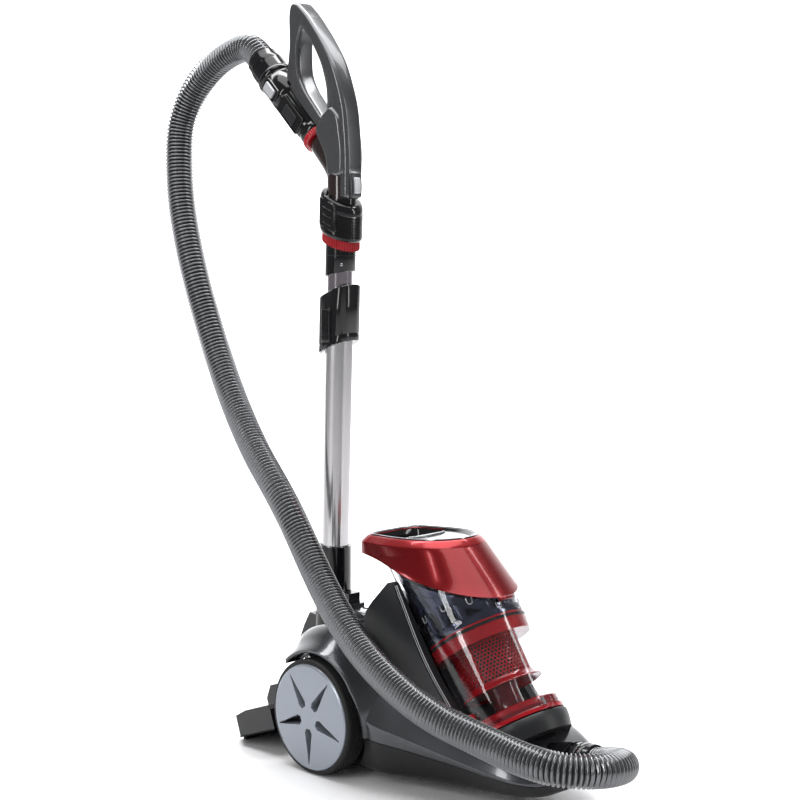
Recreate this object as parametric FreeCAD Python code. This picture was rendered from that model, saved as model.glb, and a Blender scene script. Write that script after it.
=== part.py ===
import FreeCAD, Part
import math
import os

# Canister vacuum cleaner, millimetres. +Z up, the hose inlet faces -Y, the parked wand stands at +Y,
# and X = 0 is the plane of symmetry. Everything is first built about the point on the floor under the
# wheel axle, then moved so that the origin is the middle of the footprint.

V = FreeCAD.Vector

# ---------------------------------------------------------------- driving dimensions
RUN_FIT = 0.05          # radial clearance of a shaft in its hole
GAP = 0.5               # clearance between faces that slide or part
SLIM_GAP = 0.3          # least clearance between curved faces of different bodies

# running gear
WHEEL_R = 75.0
TYRE_DEPTH = 5.5
TRACK_FACE = 140.0      # outer face of a hub, from the middle
WHEEL_W = 36.0
AXLE_R = 6.0
AXLE_IN = 84.0          # inner end of an axle stub
HUB_SKIN = 5.0
ARCH_CLEAR = 7.0        # tyre to wheel arch
FENDER_T = 5.0
FENDER_OUT = 130.0      # outer edge of the fender
WELL_IN = 98.0          # inner wall of a wheel well

CASTER_Y = -246.0
CASTER_R = 20.0
CASTER_W = 22.0
CASTER_TRAIL = 11.0
CASTER_POCKET_R = 37.0
CASTER_PIN_R = 3.0
CASTER_STEM_R = 6.0

# canister shell
WALL = 3.0
BODY_REAR = 66.0
BODY_FRONT = -328.0
PART_LINE_REAR_Z = 73.0
PART_LINE_FRONT_Z = 43.0
# each section: place along Y, then half width and height of sill, crease, shoulder and deck edge
BODY_SECTIONS = [
    (BODY_REAR, 86, 26, 95, 88, 88, 132, 46, 150),
    (44.0, 92, 18, 97, 92, 92, 152, 54, 176),
    (0.0, 94, 15, 97, 94, 94, 159, 56, 186),
    (-50.0, 104, 15, 118, 92, 104, 146, 64, 182),
    (-92.0, 106, 15, 121, 84, 102, 122, 72, 156),
    (-143.0, 86, 15, 113, 75, 94, 104, 74, 124),
    (-217.0, 62, 15, 99, 61, 84, 86, 68, 98),
    (-279.0, 46, 16, 86, 50, 76, 70, 62, 82),
    (-312.0, 38, 22, 73, 45, 66, 58, 55, 68),
    (BODY_FRONT, 30, 30, 58, 44, 54, 54, 45, 60),
]

# dust bin, on its own tilted axis; heights are measured from the seal
BIN_TILT = 34.0
BIN_SEAL_Y = -168.0
BIN_SEAL_Z = 192.5
BIN_R = 67.5            # outer radius at the seal
BIN_TAPER = 0.037       # radius lost per mm downwards
BIN_WALL = 2.5
BIN_FOOT = -121.0       # bottom edge of the clear shell
BIN_DOOR_T = 6.0
RIM_Y = -115.0          # where the rim plane crosses the middle
RIM_Z = 265.0
RIM_SLOPE = 0.176       # the rim plane falls this much per mm towards the front
SEAT_GAP = 1.0          # bin door to its seat
SEAT_T = 24.0
CRADLE_HALF_W = 79.0
CRADLE_GAP = 1.2

SEAL_T = 4.0
COLLAR_T = 16.0
SHROUD_R = 44.0
SHROUD_FOOT = -72.0
SHROUD_T = 2.0
SHROUD_HOLE_R = 2.2
SHROUD_COLUMNS = 24
SHROUD_ROWS = 6
SKIRT_R = 54.0
STEM_R = 20.0
STEM_WALL = 2.0
CYCLONES = 10
CYCLONE_TOP_R = 11.0
CYCLONE_TIP_R = 6.0
CYCLONE_RING_R = 44.0
CYCLONE_H = 46.0
CLUSTER_TOP = 52.0

LID_REAR_Y = 2.0
LID_FRONT_Y = -158.0
LID_TOP_Z = 303.0       # top of the lid at its rear end
LID_TOP_RISE = 0.065    # rise per mm towards the front
LID_HALF_W = 60.0
LID_BAND = 9.0          # height of the chamfered band round the top
LID_BAND_IN = 7.0
LID_WALL = 3.5
LID_LAP = 2.0           # the lid's foot stands this far outside the rim
LID_HINGE_Y = -216.2
LID_HINGE_R = 2.5
LID_HINGE_HALF = 12.0   # half length of the hinge barrel
TRAY_MARGIN = 9.0
TRAY_DEPTH = 34.0
TRAY_SHALLOW = 8.0
TRAY_STEP_Y = -66.0     # the deep grip hollow is behind this line
PLATE_T = 3.0
PLATE_TRAVEL = 2.5
TAB_TRAVEL = 3.0

# wand, on its own leaning axis; heights are measured along it from the floor
WAND_FOOT_Y = 115.4
WAND_LEAN = 2.06
TUBE_OUT_R = 19.0
TUBE_WALL = 1.2
TUBE_IN_R = 17.2
TUBE_LOW = 236.0
TUBE_TOP = 600.0
INNER_LOW = 272.0
INNER_TOP = 744.0
SLEEVE_LOW = 531.0
SLEEVE_TOP = 617.0
SLEEVE_HALF_X = 23.0
SLEEVE_HALF_Y = 25.5
SLEEVE_SLANT = 22.0     # height lost from the front to the rear of a slanted end
COLLAR_LOW = 630.0
COLLAR_R = 20.5
BRISTLE_LOW = 668.0
BRISTLE_TOP = 690.0
BRISTLE_R = 25.0
BRUSH_FRONT_TOP = 728.0   # its top rises from here towards the rear
BRUSH_R = 29.0
NECK_TOP = 268.0
NECK_R_TOP = 22.5
NECK_R_LOW = 25.5
NECK_LOW = 122.0

# handle, in the plane X = 0
HANDLE_HALF_W = 15.0
PIPE_R = 18.5
PIPE_WALL = 2.0
PIPE_LOW_Z = 738.0
PIPE_TURN_Y = 88.0
RING_Y = 134.0          # where the suction ring crosses the pipe axis
RING_Z = 819.0
RING_R = 21.5
RING_T = 10.0
CUFF_END_Y = 252.0
CUFF_END_Z = 926.5

# hose and its cuffs
HOSE_R = 20.0
HOSE_BORE_R = 17.5
CUFF_R = 25.0
CONNECTOR_R = 21.5
INLET_Y = -338.0        # mouth of the hose inlet, on its axis
INLET_Z = 62.0
INLET_RISE = 14.0       # degrees that the inlet looks up
INLET_LEN = 38.0
INLET_R = 27.0
FRONT_CUFF_LEN = 30.0
SPIGOT_R = 20.0
SPIGOT_LEN = 26.0

# floor head, about its pivot and tilted down at the front
HEAD_PIVOT_Y = 131.0
HEAD_DROOP = 20.0
HEAD_HALF_W = 127.0
HEAD_BACK = -34.0
HEAD_NOSE = 68.0
HEAD_TOP = -11.0
HEAD_SOLE = -43.0
BRISTLE_LEN = 6.5
KNUCKLE_R = 14.0
KNUCKLE_HALF_W = 22.0
EAR_T = 8.0
PIVOT_PIN_R = 4.0

# park hook and socket
HOOK_HALF_W = 10.0
HOOK_Y = 70.0
HOOK_T = 8.0
HOOK_FOOT_Z = 152.0
SOCKET_TOP_Z = 192.0
SOCKET_FOOT_Z = 140.0
SOCKET_WALL = 4.0
HOOK_BRIDGE_T = 14.0

# fixings, buttons and pieces inside the canister
BIN_LIFT = 150.0        # how far the bin lifts straight up
LIFT_MARGIN = 60
SEAT_OVERHANG = 1.0
AXLE_OUT = 131.0        # outer end of an axle stub
AXLE_BOSS_R = 13.0
CASTER_FORK_T = 3.5
CASTER_HEADROOM = 6.0
STEM_BOSS_R = 11.0
STEM_BOSS_H = 14.0
SCREW_R = 2.2
SCREW_HEAD_R = 4.4
SCREW_LEN = 6.0
SCREW_PLACES = [(60, 30), (-60, 30), (64, -110), (-64, -110), (36, -200), (-36, -200)]
PEDAL_INNER_X = 9.0
PEDAL_OUTER_X = 45.0
PEDAL_FRONT_Y = -4.0
PEDAL_REAR_Y = 42.0
PEDAL_FOOT_Z = 166.0
PEDAL_TOP_Z = 198.0
GRILLE_HALF_W = 36.0
GRILLE_LOW_Z = 84.0
GRILLE_TOP_Z = 134.0
CORD_X = 58.0
CORD_Z = 104.0
CORD_BEZEL_R = 9.0
CORD_BORE_R = 4.0
CRADLE_REAR_Y = -40.0
CRADLE_FRONT_Y = -214.0
CRADLE_TOP_Z = 258.0
MOTOR_LEFT_X = -70.0
MOTOR_RIGHT_X = 38.0
MOTOR_Y = -34.0
MOTOR_Z = 84.0
MOTOR_R = 38.0
MOTOR_HOUSING_R = 54.0
MOUNT_T = 4.0
REEL_X = 44.0
REEL_W = 34.0
REEL_R = 50.0
REEL_CORE_R = 24.0
INLET_BUTTON_LEN = 26.0
INLET_BUTTON_Z = 47.0
BUTTON_TRAVEL = 2.5
HUB_SLOTS = 5
SLOT_IN_R = 18.0
SLOT_DEPTH = 3.5
SLOT_START = -18.0      # turn of the first slot, so that one points straight down
SLOT_HALF_WIDTH = 5.5
SLOT_TIP_HALF = 0.8
GASKET_T = 6.0
FILTER_R = 46.0
FILTER_T = 14.0
SLEEVE_LATCH_LOW = 548.0
SLEEVE_LATCH_TOP = 588.0
SLEEVE_LATCH_TRAVEL = 6.0
BARREL_R = 20.0
BARREL_TOP_Z = 790.0
SADDLE_HALF_W = 21.5
SWIVEL_R = 17.0         # spigot that the ring and the handle cuff turn on
SWIVEL_LEN = 60.0
CONNECTOR_LEN = 80.0    # from the ring to the start of the handle cuff
GRIP_BUTTON_LOW = 745.5
GRIP_BUTTON_TOP = 766.0
GRIP_BUTTON_FRONT_Y = 60.5
GRIP_BUTTON_REAR_Y = 66.5
GRIP_BUTTON_TRAVEL = 2.0
CUFF_BUTTON_T = 86.0    # low end of the cuff button, along the pipe from the ring
CUFF_BUTTON_LEN = 22.0
CUFF_BUTTON_TRAVEL = 2.0
SLOT_HALF_W = 100.0     # suction slot of the floor head
SLOT_BACK = -8.0
SLOT_NOSE = 32.0
ROCKER_X = 36.0
ROCKER_W = 44.0
HUMP_HALF_W = 58.0
HUMP_BACK = 24.0
HUMP_NOSE = 58.0
HUMP_TOP = 14.0
RIM_CLEAR = 9.0         # what stands in the bin stays this far under the rim plane

# corner points of the hose between its two cuffs, from the front cuff to the handle cuff
HOSE_ROUTE = [
    (-33, -438, 90),
    (-84, -446, 97),
    (-124, -414, 100),
    (-132, -362, 104),
    (-134, -300, 113),
    (-145, -224, 129),
    (-140, -134, 161),
    (-124, -54, 199),
    (-104, 16, 246),
    (-93, 65, 291),
    (-90, 98, 328),
    (-84, 137, 361),
    (-72, 187, 394),
    (-54, 252, 448),
    (-46, 298, 509),
    (-45, 330, 572),
    (-46, 351, 622),
    (-44, 374, 680),
    (-40, 393, 737),
    (-33, 405, 795),
    (-27, 409, 838),
    (-20, 399, 873),
    (-13, 379, 903),
    (-8, 351, 926),
    (-4, 321, 940.5),
    (0, 293, 947.5),
]
HOSE_FIRST_RUN = 33.0   # straight out of the front cuff
HOSE_LAST_RUN = 24.0    # straight into the handle cuff


# ---------------------------------------------------------------- shape helpers
def solid_box(x0, x1, y0, y1, z0, z1):
    return Part.makeBox(x1 - x0, y1 - y0, z1 - z0, V(x0, y0, z0))


def rod(base, axis, radius, length):
    return Part.makeCylinder(radius, length, base, axis)


def pipe(base, axis, radius, bore, length):
    outer = rod(base, axis, radius, length)
    return outer.cut(rod(base, axis, bore, length))


def face_of(points):
    return Part.Face(Part.makePolygon(points + [points[0]]))


def plate_yz(points, half_width):
    face = face_of([V(-half_width, y, z) for y, z in points])
    return face.extrude(V(2 * half_width, 0, 0))


def spun(profile, centre_y, centre_z):
    """Revolve (x, r) points about a line along X."""
    face = face_of([V(x, 0, r) for x, r in profile])
    solid = face.revolve(V(0, 0, 0), V(1, 0, 0), 360)
    solid.translate(V(0, centre_y, centre_z))
    return solid


def lathe(profile):
    """Revolve (r, z) points about Z."""
    face = face_of([V(r, 0, z) for r, z in profile])
    return face.revolve(V(0, 0, 0), V(0, 0, 1), 360)


def leaned(shape, base_y, base_z, degrees):
    """Turn a shape built about Z so that +Z leans towards +Y, then move it to its base."""
    turned = shape.copy()
    turned.rotate(V(0, 0, 0), V(1, 0, 0), -degrees)
    turned.translate(V(0, base_y, base_z))
    return turned


def fused(shapes):
    return shapes[0].multiFuse(shapes[1:]).removeSplitter()


def mirrored(shape):
    return shape.mirror(V(0, 0, 0), V(1, 0, 0))


def cut_all(shape, tools):
    return shape.cut(list(tools))


def group(shapes):
    return Part.makeCompound(shapes)


def smooth_loop(points):
    curve = Part.BSplineCurve()
    curve.interpolate(points, PeriodicFlag=True)
    return Part.Wire(curve.toShape())


# ---------------------------------------------------------------- canister shell
def section_points(section, inset):
    y, sill_w, sill_z, crease_w, crease_z, shoulder_w, shoulder_z, deck_w, deck_z = section
    half = [
        (sill_w - inset, sill_z + inset),
        (crease_w - inset, crease_z),
        (shoulder_w - inset, shoulder_z - inset / 2),
        (deck_w - inset / 2, deck_z - inset),
    ]
    ring = half + [(-x, z) for x, z in reversed(half)]
    return [V(x, y, z) for x, z in ring]


def body_block(inset):
    """A solid skinned with flat triangles from one section to the next."""
    sections = list(BODY_SECTIONS)
    if inset:
        first = (BODY_REAR - inset,) + sections[0][1:]
        last = (BODY_FRONT + inset,) + sections[-1][1:]
        sections = [first] + sections[1:-1] + [last]
    rings = [section_points(section, inset) for section in sections]
    faces = [face_of(rings[0]), face_of(rings[-1])]
    for near, far in zip(rings, rings[1:]):
        for k in range(len(near)):
            nxt = (k + 1) % len(near)
            right_side = k < len(near) // 2
            third = far[k] if right_side else far[nxt]
            fourth = near[nxt] if right_side else near[k]
            faces.append(face_of([near[k], near[nxt], third]))
            faces.append(face_of([fourth, far[nxt], far[k]]))
    solid = Part.Solid(Part.makeShell(faces))
    if solid.Volume < 0:
        solid.reverse()
    return solid.removeSplitter()


def below_part_line(lift):
    rear = V(0, BODY_REAR + 100, 0)
    slope = (PART_LINE_REAR_Z - PART_LINE_FRONT_Z) / (BODY_REAR - BODY_FRONT)
    z_rear = PART_LINE_REAR_Z + slope * 100 + lift
    z_front = PART_LINE_FRONT_Z - slope * 100 + lift
    points = [(rear.y, -50), (rear.y, z_rear), (BODY_FRONT - 100, z_front), (BODY_FRONT - 100, -50)]
    return plate_yz(points, 300)


def wheel_well():
    arch_r = WHEEL_R + ARCH_CLEAR
    return [
        rod(V(WELL_IN, 0, WHEEL_R), V(1, 0, 0), arch_r, 100),
        rod(V(-WELL_IN, 0, WHEEL_R), V(-1, 0, 0), arch_r, 100),
    ]


def fender(side):
    arch_r = WHEEL_R + ARCH_CLEAR
    width = FENDER_OUT - WELL_IN + 2 * WALL
    start = V(WELL_IN - 2 * WALL, 0, WHEEL_R)
    ring = pipe(start, V(1, 0, 0), arch_r + FENDER_T, arch_r, width)
    reach = 2 * arch_r
    keep = [(0, 0), (reach, reach), (-reach, reach), (-reach, 8)]
    sector = plate_yz([(y, WHEEL_R + z) for y, z in keep], 2 * FENDER_OUT)
    ring = ring.common(sector)
    return ring if side > 0 else mirrored(ring)


def bin_cone(low, high, grow):
    foot_r = BIN_R + BIN_TAPER * low + grow
    head_r = BIN_R + BIN_TAPER * high + grow
    return Part.makeCone(foot_r, head_r, high - low, V(0, 0, low))


def on_bin(shape):
    return leaned(shape, BIN_SEAL_Y, BIN_SEAL_Z, BIN_TILT)


def under_rim_plane(drop):
    front = RIM_Y - 300
    rear = RIM_Y + 300
    points = [
        (front, -100),
        (front, RIM_Z - drop - 300 * RIM_SLOPE),
        (rear, RIM_Z - drop + 300 * RIM_SLOPE),
        (rear, -100),
    ]
    return plate_yz(points, 300)


BIN_LOW = BIN_FOOT - BIN_DOOR_T
BIN_HIGH = 150.0
room_low_r = BIN_R + BIN_TAPER * BIN_LOW + CRADLE_GAP
room_high_r = BIN_R + BIN_TAPER * BIN_HIGH + CRADLE_GAP
room_low = BIN_LOW - SEAT_GAP
bin_room = on_bin(bin_cone(room_low, BIN_HIGH, CRADLE_GAP))
# lifting the bin sweeps its widest section and its foot straight up
widest = on_bin(face_of([
    V(-room_low_r, 0, room_low),
    V(room_low_r, 0, room_low),
    V(room_high_r, 0, BIN_HIGH),
    V(-room_high_r, 0, BIN_HIGH),
]))
foot = on_bin(Part.Face(Part.Wire(Part.makeCircle(room_low_r, V(0, 0, room_low)))))
lift = V(0, 0, BIN_LIFT + LIFT_MARGIN)
lifted_room = [bin_room, widest.extrude(lift), foot.extrude(lift)]


# a release tab stands out of the bin's side and needs its own way up
tab_z = BIN_FOOT + 14
release_tab = on_bin(solid_box(-BIN_R - 4, -BIN_R + 6, -2, 18, tab_z, tab_z + 10))
tab_box = release_tab.BoundBox
tab_room = solid_box(
    tab_box.XMin - GAP, tab_box.XMax + GAP, tab_box.YMin - TAB_TRAVEL - GAP, tab_box.YMax + GAP,
    tab_box.ZMin - TAB_TRAVEL - GAP, CRADLE_TOP_Z,
)
lifted_room.append(tab_room)


def inlet_at(shape):
    """Carry a shape from +Z at the origin to the inlet's axis, pointing out of its mouth."""
    turned = shape.copy()
    turned.rotate(V(0, 0, 0), V(1, 0, 0), 90 - INLET_RISE)
    turned.translate(V(0, INLET_Y, INLET_Z))
    return turned


pocket_top = 2 * CASTER_R + CASTER_FORK_T + CASTER_HEADROOM
sill_z = BODY_SECTIONS[2][2]
up = V(0, 0, 1)
caster_pocket = rod(V(0, CASTER_Y, 0), up, CASTER_POCKET_R, pocket_top)
caster_cup = rod(V(0, CASTER_Y, sill_z), up, CASTER_POCKET_R + WALL, pocket_top + WALL - sill_z)
stem_boss = rod(V(0, CASTER_Y, pocket_top), up, STEM_BOSS_R, STEM_BOSS_H)
stem_hole = rod(V(0, CASTER_Y, 0), up, CASTER_STEM_R + RUN_FIT, pocket_top + STEM_BOSS_H - WALL)

inlet_room = inlet_at(rod(V(0, 0, -INLET_LEN), up, INLET_R, 2 * INLET_LEN))
button_half = INLET_BUTTON_LEN / 2
inlet_button_y = INLET_Y + 20
inlet_button = solid_box(
    -INLET_R - 5, -INLET_R + 2, inlet_button_y - button_half, inlet_button_y + button_half,
    INLET_BUTTON_Z - 4, INLET_BUTTON_Z + 4,
)
button_nest = solid_box(
    -INLET_R - 3, -INLET_R + 8, inlet_button_y - button_half - WALL, inlet_button_y + button_half + WALL,
    INLET_BUTTON_Z - 4 - WALL, INLET_BUTTON_Z + 4 + WALL,
)
button_slot = solid_box(
    -INLET_R - 9, -INLET_R + 2 + BUTTON_TRAVEL + GAP,
    inlet_button_y - button_half - GAP, inlet_button_y + button_half + GAP,
    INLET_BUTTON_Z - 4 - GAP, INLET_BUTTON_Z + 4 + GAP,
)
outer_block = body_block(0)
inner_block = body_block(WALL)
shell = outer_block.cut(inner_block)
axle_boss = rod(V(AXLE_IN, 0, WHEEL_R), V(1, 0, 0), AXLE_BOSS_R, WELL_IN - AXLE_IN)
axle_hole = rod(V(AXLE_IN, 0, WHEEL_R), V(1, 0, 0), AXLE_R, TRACK_FACE)
axle_bosses = [axle_boss, mirrored(axle_boss)]
axle_holes = [axle_hole, mirrored(axle_hole)]

screws = []
for x, y in SCREW_PLACES:
    head = Part.makeCone(SCREW_HEAD_R, SCREW_R, SCREW_R, V(x, y, sill_z), up)
    screws.append(fused([head, rod(V(x, y, sill_z + SCREW_R), up, SCREW_R, SCREW_LEN)]))

lower = shell.common(below_part_line(0))
lower = fused([lower, caster_cup, stem_boss])
lower_cuts = wheel_well() + [caster_pocket, stem_hole, inlet_room, button_slot, button_nest]
lower_shell = cut_all(lower, lower_cuts + axle_bosses + screws)

socket_half_w = HOOK_HALF_W + GAP + SOCKET_WALL
socket_half_t = HOOK_T / 2 + GAP + SOCKET_WALL
socket_block = solid_box(
    -socket_half_w, socket_half_w, HOOK_Y - socket_half_t, HOOK_Y + socket_half_t,
    SOCKET_FOOT_Z, SOCKET_TOP_Z,
)
socket_slot = solid_box(
    -HOOK_HALF_W - GAP, HOOK_HALF_W + GAP, HOOK_Y - HOOK_T / 2 - GAP, HOOK_Y + HOOK_T / 2 + GAP,
    SOCKET_FOOT_Z + SOCKET_WALL, SOCKET_TOP_Z + 1,
)
park_socket = socket_block.cut(socket_slot)


def pedal(side, grow):
    x0 = PEDAL_INNER_X - grow
    x1 = PEDAL_OUTER_X + grow
    block = solid_box(x0, x1, PEDAL_FRONT_Y - grow, PEDAL_REAR_Y + grow, PEDAL_FOOT_Z, PEDAL_TOP_Z)
    return block if side > 0 else mirrored(block)


arches = [
    rod(V(WELL_IN - WALL, 0, WHEEL_R), V(1, 0, 0), WHEEL_R + ARCH_CLEAR + WALL, 40),
    rod(V(-WELL_IN + WALL, 0, WHEEL_R), V(-1, 0, 0), WHEEL_R + ARCH_CLEAR + WALL, 40),
]
well_sleeve = on_bin(bin_cone(BIN_LOW - SEAT_GAP - WALL, BIN_HIGH, CRADLE_GAP + WALL))
seat_ring = on_bin(bin_cone(BIN_LOW - SEAT_GAP - SEAT_T, BIN_LOW - SEAT_GAP, SEAT_OVERHANG))
grille_hole = solid_box(
    -GRILLE_HALF_W, GRILLE_HALF_W, BODY_REAR - 2 * WALL, BODY_REAR + 1, GRILLE_LOW_Z, GRILLE_TOP_Z
)
cord_hole = rod(V(CORD_X, BODY_REAR - 3 * WALL, CORD_Z), V(0, 1, 0), CORD_BEZEL_R, 4 * WALL)

upper = fused([outer_block, seat_ring, fender(1), fender(-1)])
hollow = cut_all(inner_block, arches + [well_sleeve] + axle_bosses)
body_shell = cut_all(upper, [below_part_line(0), hollow])
body_shell = cut_all(body_shell, wheel_well() + axle_holes)
body_shell = cut_all(body_shell, [inlet_room, button_slot, button_nest])
body_shell = cut_all(body_shell, [socket_block, grille_hole, cord_hole, pedal(1, GAP), pedal(-1, GAP)])
for room in lifted_room:
    body_shell = body_shell.cut(room)

# ---------------------------------------------------------------- bin cradle
cradle_side = [
    (CRADLE_REAR_Y, 100),
    (CRADLE_REAR_Y, 207),
    (CRADLE_REAR_Y - 12, 224),
    (CRADLE_REAR_Y - 46, CRADLE_TOP_Z),
    (CRADLE_REAR_Y - 54, CRADLE_TOP_Z - 2),
    (-148, 163),
    (CRADLE_FRONT_Y, 94),
    (CRADLE_FRONT_Y, 60),
]
cradle_inside = [
    (CRADLE_REAR_Y - WALL, 90),
    (CRADLE_REAR_Y - WALL, 205),
    (CRADLE_REAR_Y - 14, 220),
    (CRADLE_REAR_Y - 46, CRADLE_TOP_Z - 2 * WALL),
    (-150, 150),
    (CRADLE_FRONT_Y + WALL, 84),
    (CRADLE_FRONT_Y + WALL, 60),
]
cradle = plate_yz(cradle_side, CRADLE_HALF_W)
bin_sleeve = on_bin(bin_cone(BIN_LOW, 180, CRADLE_GAP + WALL))
cradle_hollow = plate_yz(cradle_inside, CRADLE_HALF_W - WALL).cut(bin_sleeve)
bin_cradle = cut_all(cradle.cut(cradle_hollow), [outer_block] + lifted_room)

# ---------------------------------------------------------------- inside the canister
motor_place = V(MOTOR_LEFT_X, MOTOR_Y, MOTOR_Z)
motor_len = MOTOR_RIGHT_X - MOTOR_LEFT_X
along_x = V(1, 0, 0)
motor_housing = pipe(motor_place, along_x, MOTOR_HOUSING_R, MOTOR_HOUSING_R - WALL, motor_len)
motor_can = rod(motor_place + V(12, 0, 0), along_x, MOTOR_R, 52)
fan_case = rod(motor_place + V(64, 0, 0), along_x, MOTOR_HOUSING_R - WALL - MOUNT_T, 30)
motor = fused([motor_can, fan_case, rod(motor_place + V(4, 0, 0), along_x, 10, 8)])
motor_mount = pipe(
    motor_place + V(66, 0, 0), along_x, MOTOR_HOUSING_R - WALL, MOTOR_HOUSING_R - WALL - MOUNT_T, 24
)
reel_place = V(REEL_X, MOTOR_Y + 20, MOTOR_Z)
reel = fused([
    rod(reel_place, along_x, REEL_R, 3),
    rod(reel_place, along_x, REEL_CORE_R, REEL_W),
    rod(reel_place + V(REEL_W - 3, 0, 0), along_x, REEL_R, 3),
])
exhaust_filter = solid_box(-60, 36, BODY_REAR - 26, BODY_REAR - 8, 44, 130)
slat_count = 5
slat_pitch = (GRILLE_TOP_Z - GRILLE_LOW_Z) / slat_count
exhaust_grille = solid_box(
    -GRILLE_HALF_W, GRILLE_HALF_W, BODY_REAR - WALL, BODY_REAR + 1, GRILLE_LOW_Z, GRILLE_TOP_Z
)
for i in range(slat_count):
    z = GRILLE_LOW_Z + slat_pitch * (i + 0.25)
    slot = solid_box(
        -GRILLE_HALF_W + WALL, GRILLE_HALF_W - WALL, BODY_REAR - 4 * WALL, BODY_REAR + 9,
        z, z + slat_pitch / 2,
    )
    exhaust_grille = exhaust_grille.cut(slot)
bezel_base = V(CORD_X, BODY_REAR - 2 * WALL, CORD_Z)
cord_inlet = fused([
    pipe(bezel_base, V(0, 1, 0), CORD_BEZEL_R, CORD_BORE_R, 3 * WALL),
    pipe(bezel_base + V(0, 2 * WALL, 0), V(0, 1, 0), CORD_BEZEL_R + 3, CORD_BORE_R, WALL),
])
axle_stub = rod(V(AXLE_IN, 0, WHEEL_R), along_x, AXLE_R, AXLE_OUT - AXLE_IN)

# ---------------------------------------------------------------- hose inlet
inlet_tube = inlet_at(pipe(V(0, 0, -INLET_LEN), up, INLET_R, SPIGOT_R + RUN_FIT, INLET_LEN))
spigot_room = inlet_at(rod(V(0, 0, -INLET_LEN), up, SPIGOT_R + RUN_FIT, INLET_LEN + 40))
cuff_room = inlet_at(rod(V(0, 0, 0), up, CUFF_R + 4, 60))
hose_inlet = fused([inlet_tube, button_nest.cut(spigot_room)])
hose_inlet = cut_all(hose_inlet, [button_slot, cuff_room])

# ---------------------------------------------------------------- wheels and caster
hub_inner_x = TRACK_FACE - WHEEL_W
hub_rim_r = WHEEL_R - TYRE_DEPTH
bore_r = AXLE_R + RUN_FIT
hub_profile = [
    (hub_inner_x + 2, bore_r),
    (hub_inner_x + 2, bore_r + 7),
    (TRACK_FACE - HUB_SKIN - 4, bore_r + 9),
    (TRACK_FACE - HUB_SKIN - 4, hub_rim_r - 5),
    (hub_inner_x + 4, hub_rim_r - 4),
    (hub_inner_x + 4, hub_rim_r),
    (TRACK_FACE - 4, hub_rim_r),
    (TRACK_FACE - 2, hub_rim_r - 3),
    (TRACK_FACE, hub_rim_r - 22),
    (TRACK_FACE, 0),
    (AXLE_OUT + GAP, 0),
    (AXLE_OUT + GAP, bore_r),
]
tyre_profile = [
    (hub_inner_x, hub_rim_r),
    (hub_inner_x, WHEEL_R - 4),
    (hub_inner_x + 3, WHEEL_R),
    (TRACK_FACE - 8, WHEEL_R),
    (TRACK_FACE - 4, WHEEL_R - 3),
    (TRACK_FACE - 4, hub_rim_r),
]
hub = spun(hub_profile, 0, 0)
slot_end = hub_rim_r - 4
slot_face = [
    (SLOT_IN_R, 0),
    (SLOT_IN_R + 6, SLOT_HALF_WIDTH),
    (slot_end, SLOT_TIP_HALF),
    (slot_end, -SLOT_TIP_HALF),
    (SLOT_IN_R + 6, -SLOT_HALF_WIDTH),
]
for i in range(HUB_SLOTS):
    slot = face_of([V(TRACK_FACE - SLOT_DEPTH, y, z) for y, z in slot_face]).extrude(V(20, 0, 0))
    slot.rotate(V(0, 0, 0), along_x, SLOT_START + i * 360 / HUB_SLOTS)
    hub = hub.cut(slot)
hub.translate(V(0, 0, WHEEL_R))
tyre = spun(tyre_profile, 0, WHEEL_R)

cheek_in = CASTER_W / 2 + GAP
cheek_out = cheek_in + CASTER_FORK_T
wheel_y = CASTER_Y + CASTER_TRAIL
fork_top = 2 * CASTER_R + CASTER_HEADROOM / 2
fork_plate = solid_box(-cheek_out, cheek_out, CASTER_Y - 12, wheel_y + 9, fork_top, fork_top + CASTER_FORK_T)
caster_axle = rod(V(-cheek_out, wheel_y, CASTER_R), along_x, CASTER_PIN_R, 2 * cheek_out)
cheek = solid_box(cheek_in, cheek_out, wheel_y - 8, wheel_y + 9, CASTER_R - 7, fork_top)
fork_stem = rod(V(0, CASTER_Y, fork_top + CASTER_FORK_T), up, CASTER_STEM_R, STEM_BOSS_H)
caster_fork = fused([fork_plate, cheek, mirrored(cheek), fork_stem]).cut(caster_axle)
caster_wheel = pipe(
    V(-CASTER_W / 2, wheel_y, CASTER_R), along_x, CASTER_R, CASTER_PIN_R + RUN_FIT, CASTER_W
)

# ---------------------------------------------------------------- dust bin
def bin_wall_r(height):
    """Inner radius of the clear shell at a height above the seal."""
    return BIN_R + BIN_TAPER * height - BIN_WALL


def bin_ring(low, high, bore):
    """A ring that fills the bin from the wall in to a bore."""
    outer = Part.makeCone(bin_wall_r(low), bin_wall_r(high), high - low, V(0, 0, low))
    return outer.cut(rod(V(0, 0, low), up, bore, high - low))


def bin_disc(low, high, margin):
    return Part.makeCone(bin_wall_r(low) - margin, bin_wall_r(high) - margin, high - low, V(0, 0, low))


shell_outer = bin_cone(BIN_FOOT, 170, 0)
shell_inner = bin_cone(BIN_FOOT - 1, 171, -BIN_WALL)
bin_tube = on_bin(shell_outer.cut(shell_inner)).common(under_rim_plane(0))
latch_room = on_bin(solid_box(-9, 9, -BIN_R - 5, -BIN_R + 8, BIN_FOOT - BIN_DOOR_T, BIN_FOOT + 10))


def hinge_barrel(radius, grow):
    """The lid's hinge runs along the front of the rim, on the rim plane."""
    half = LID_HINGE_HALF + grow
    z = RIM_Z + RIM_SLOPE * (LID_HINGE_Y - RIM_Y)
    return rod(V(-half, LID_HINGE_Y, z), along_x, radius, 2 * half)


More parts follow.
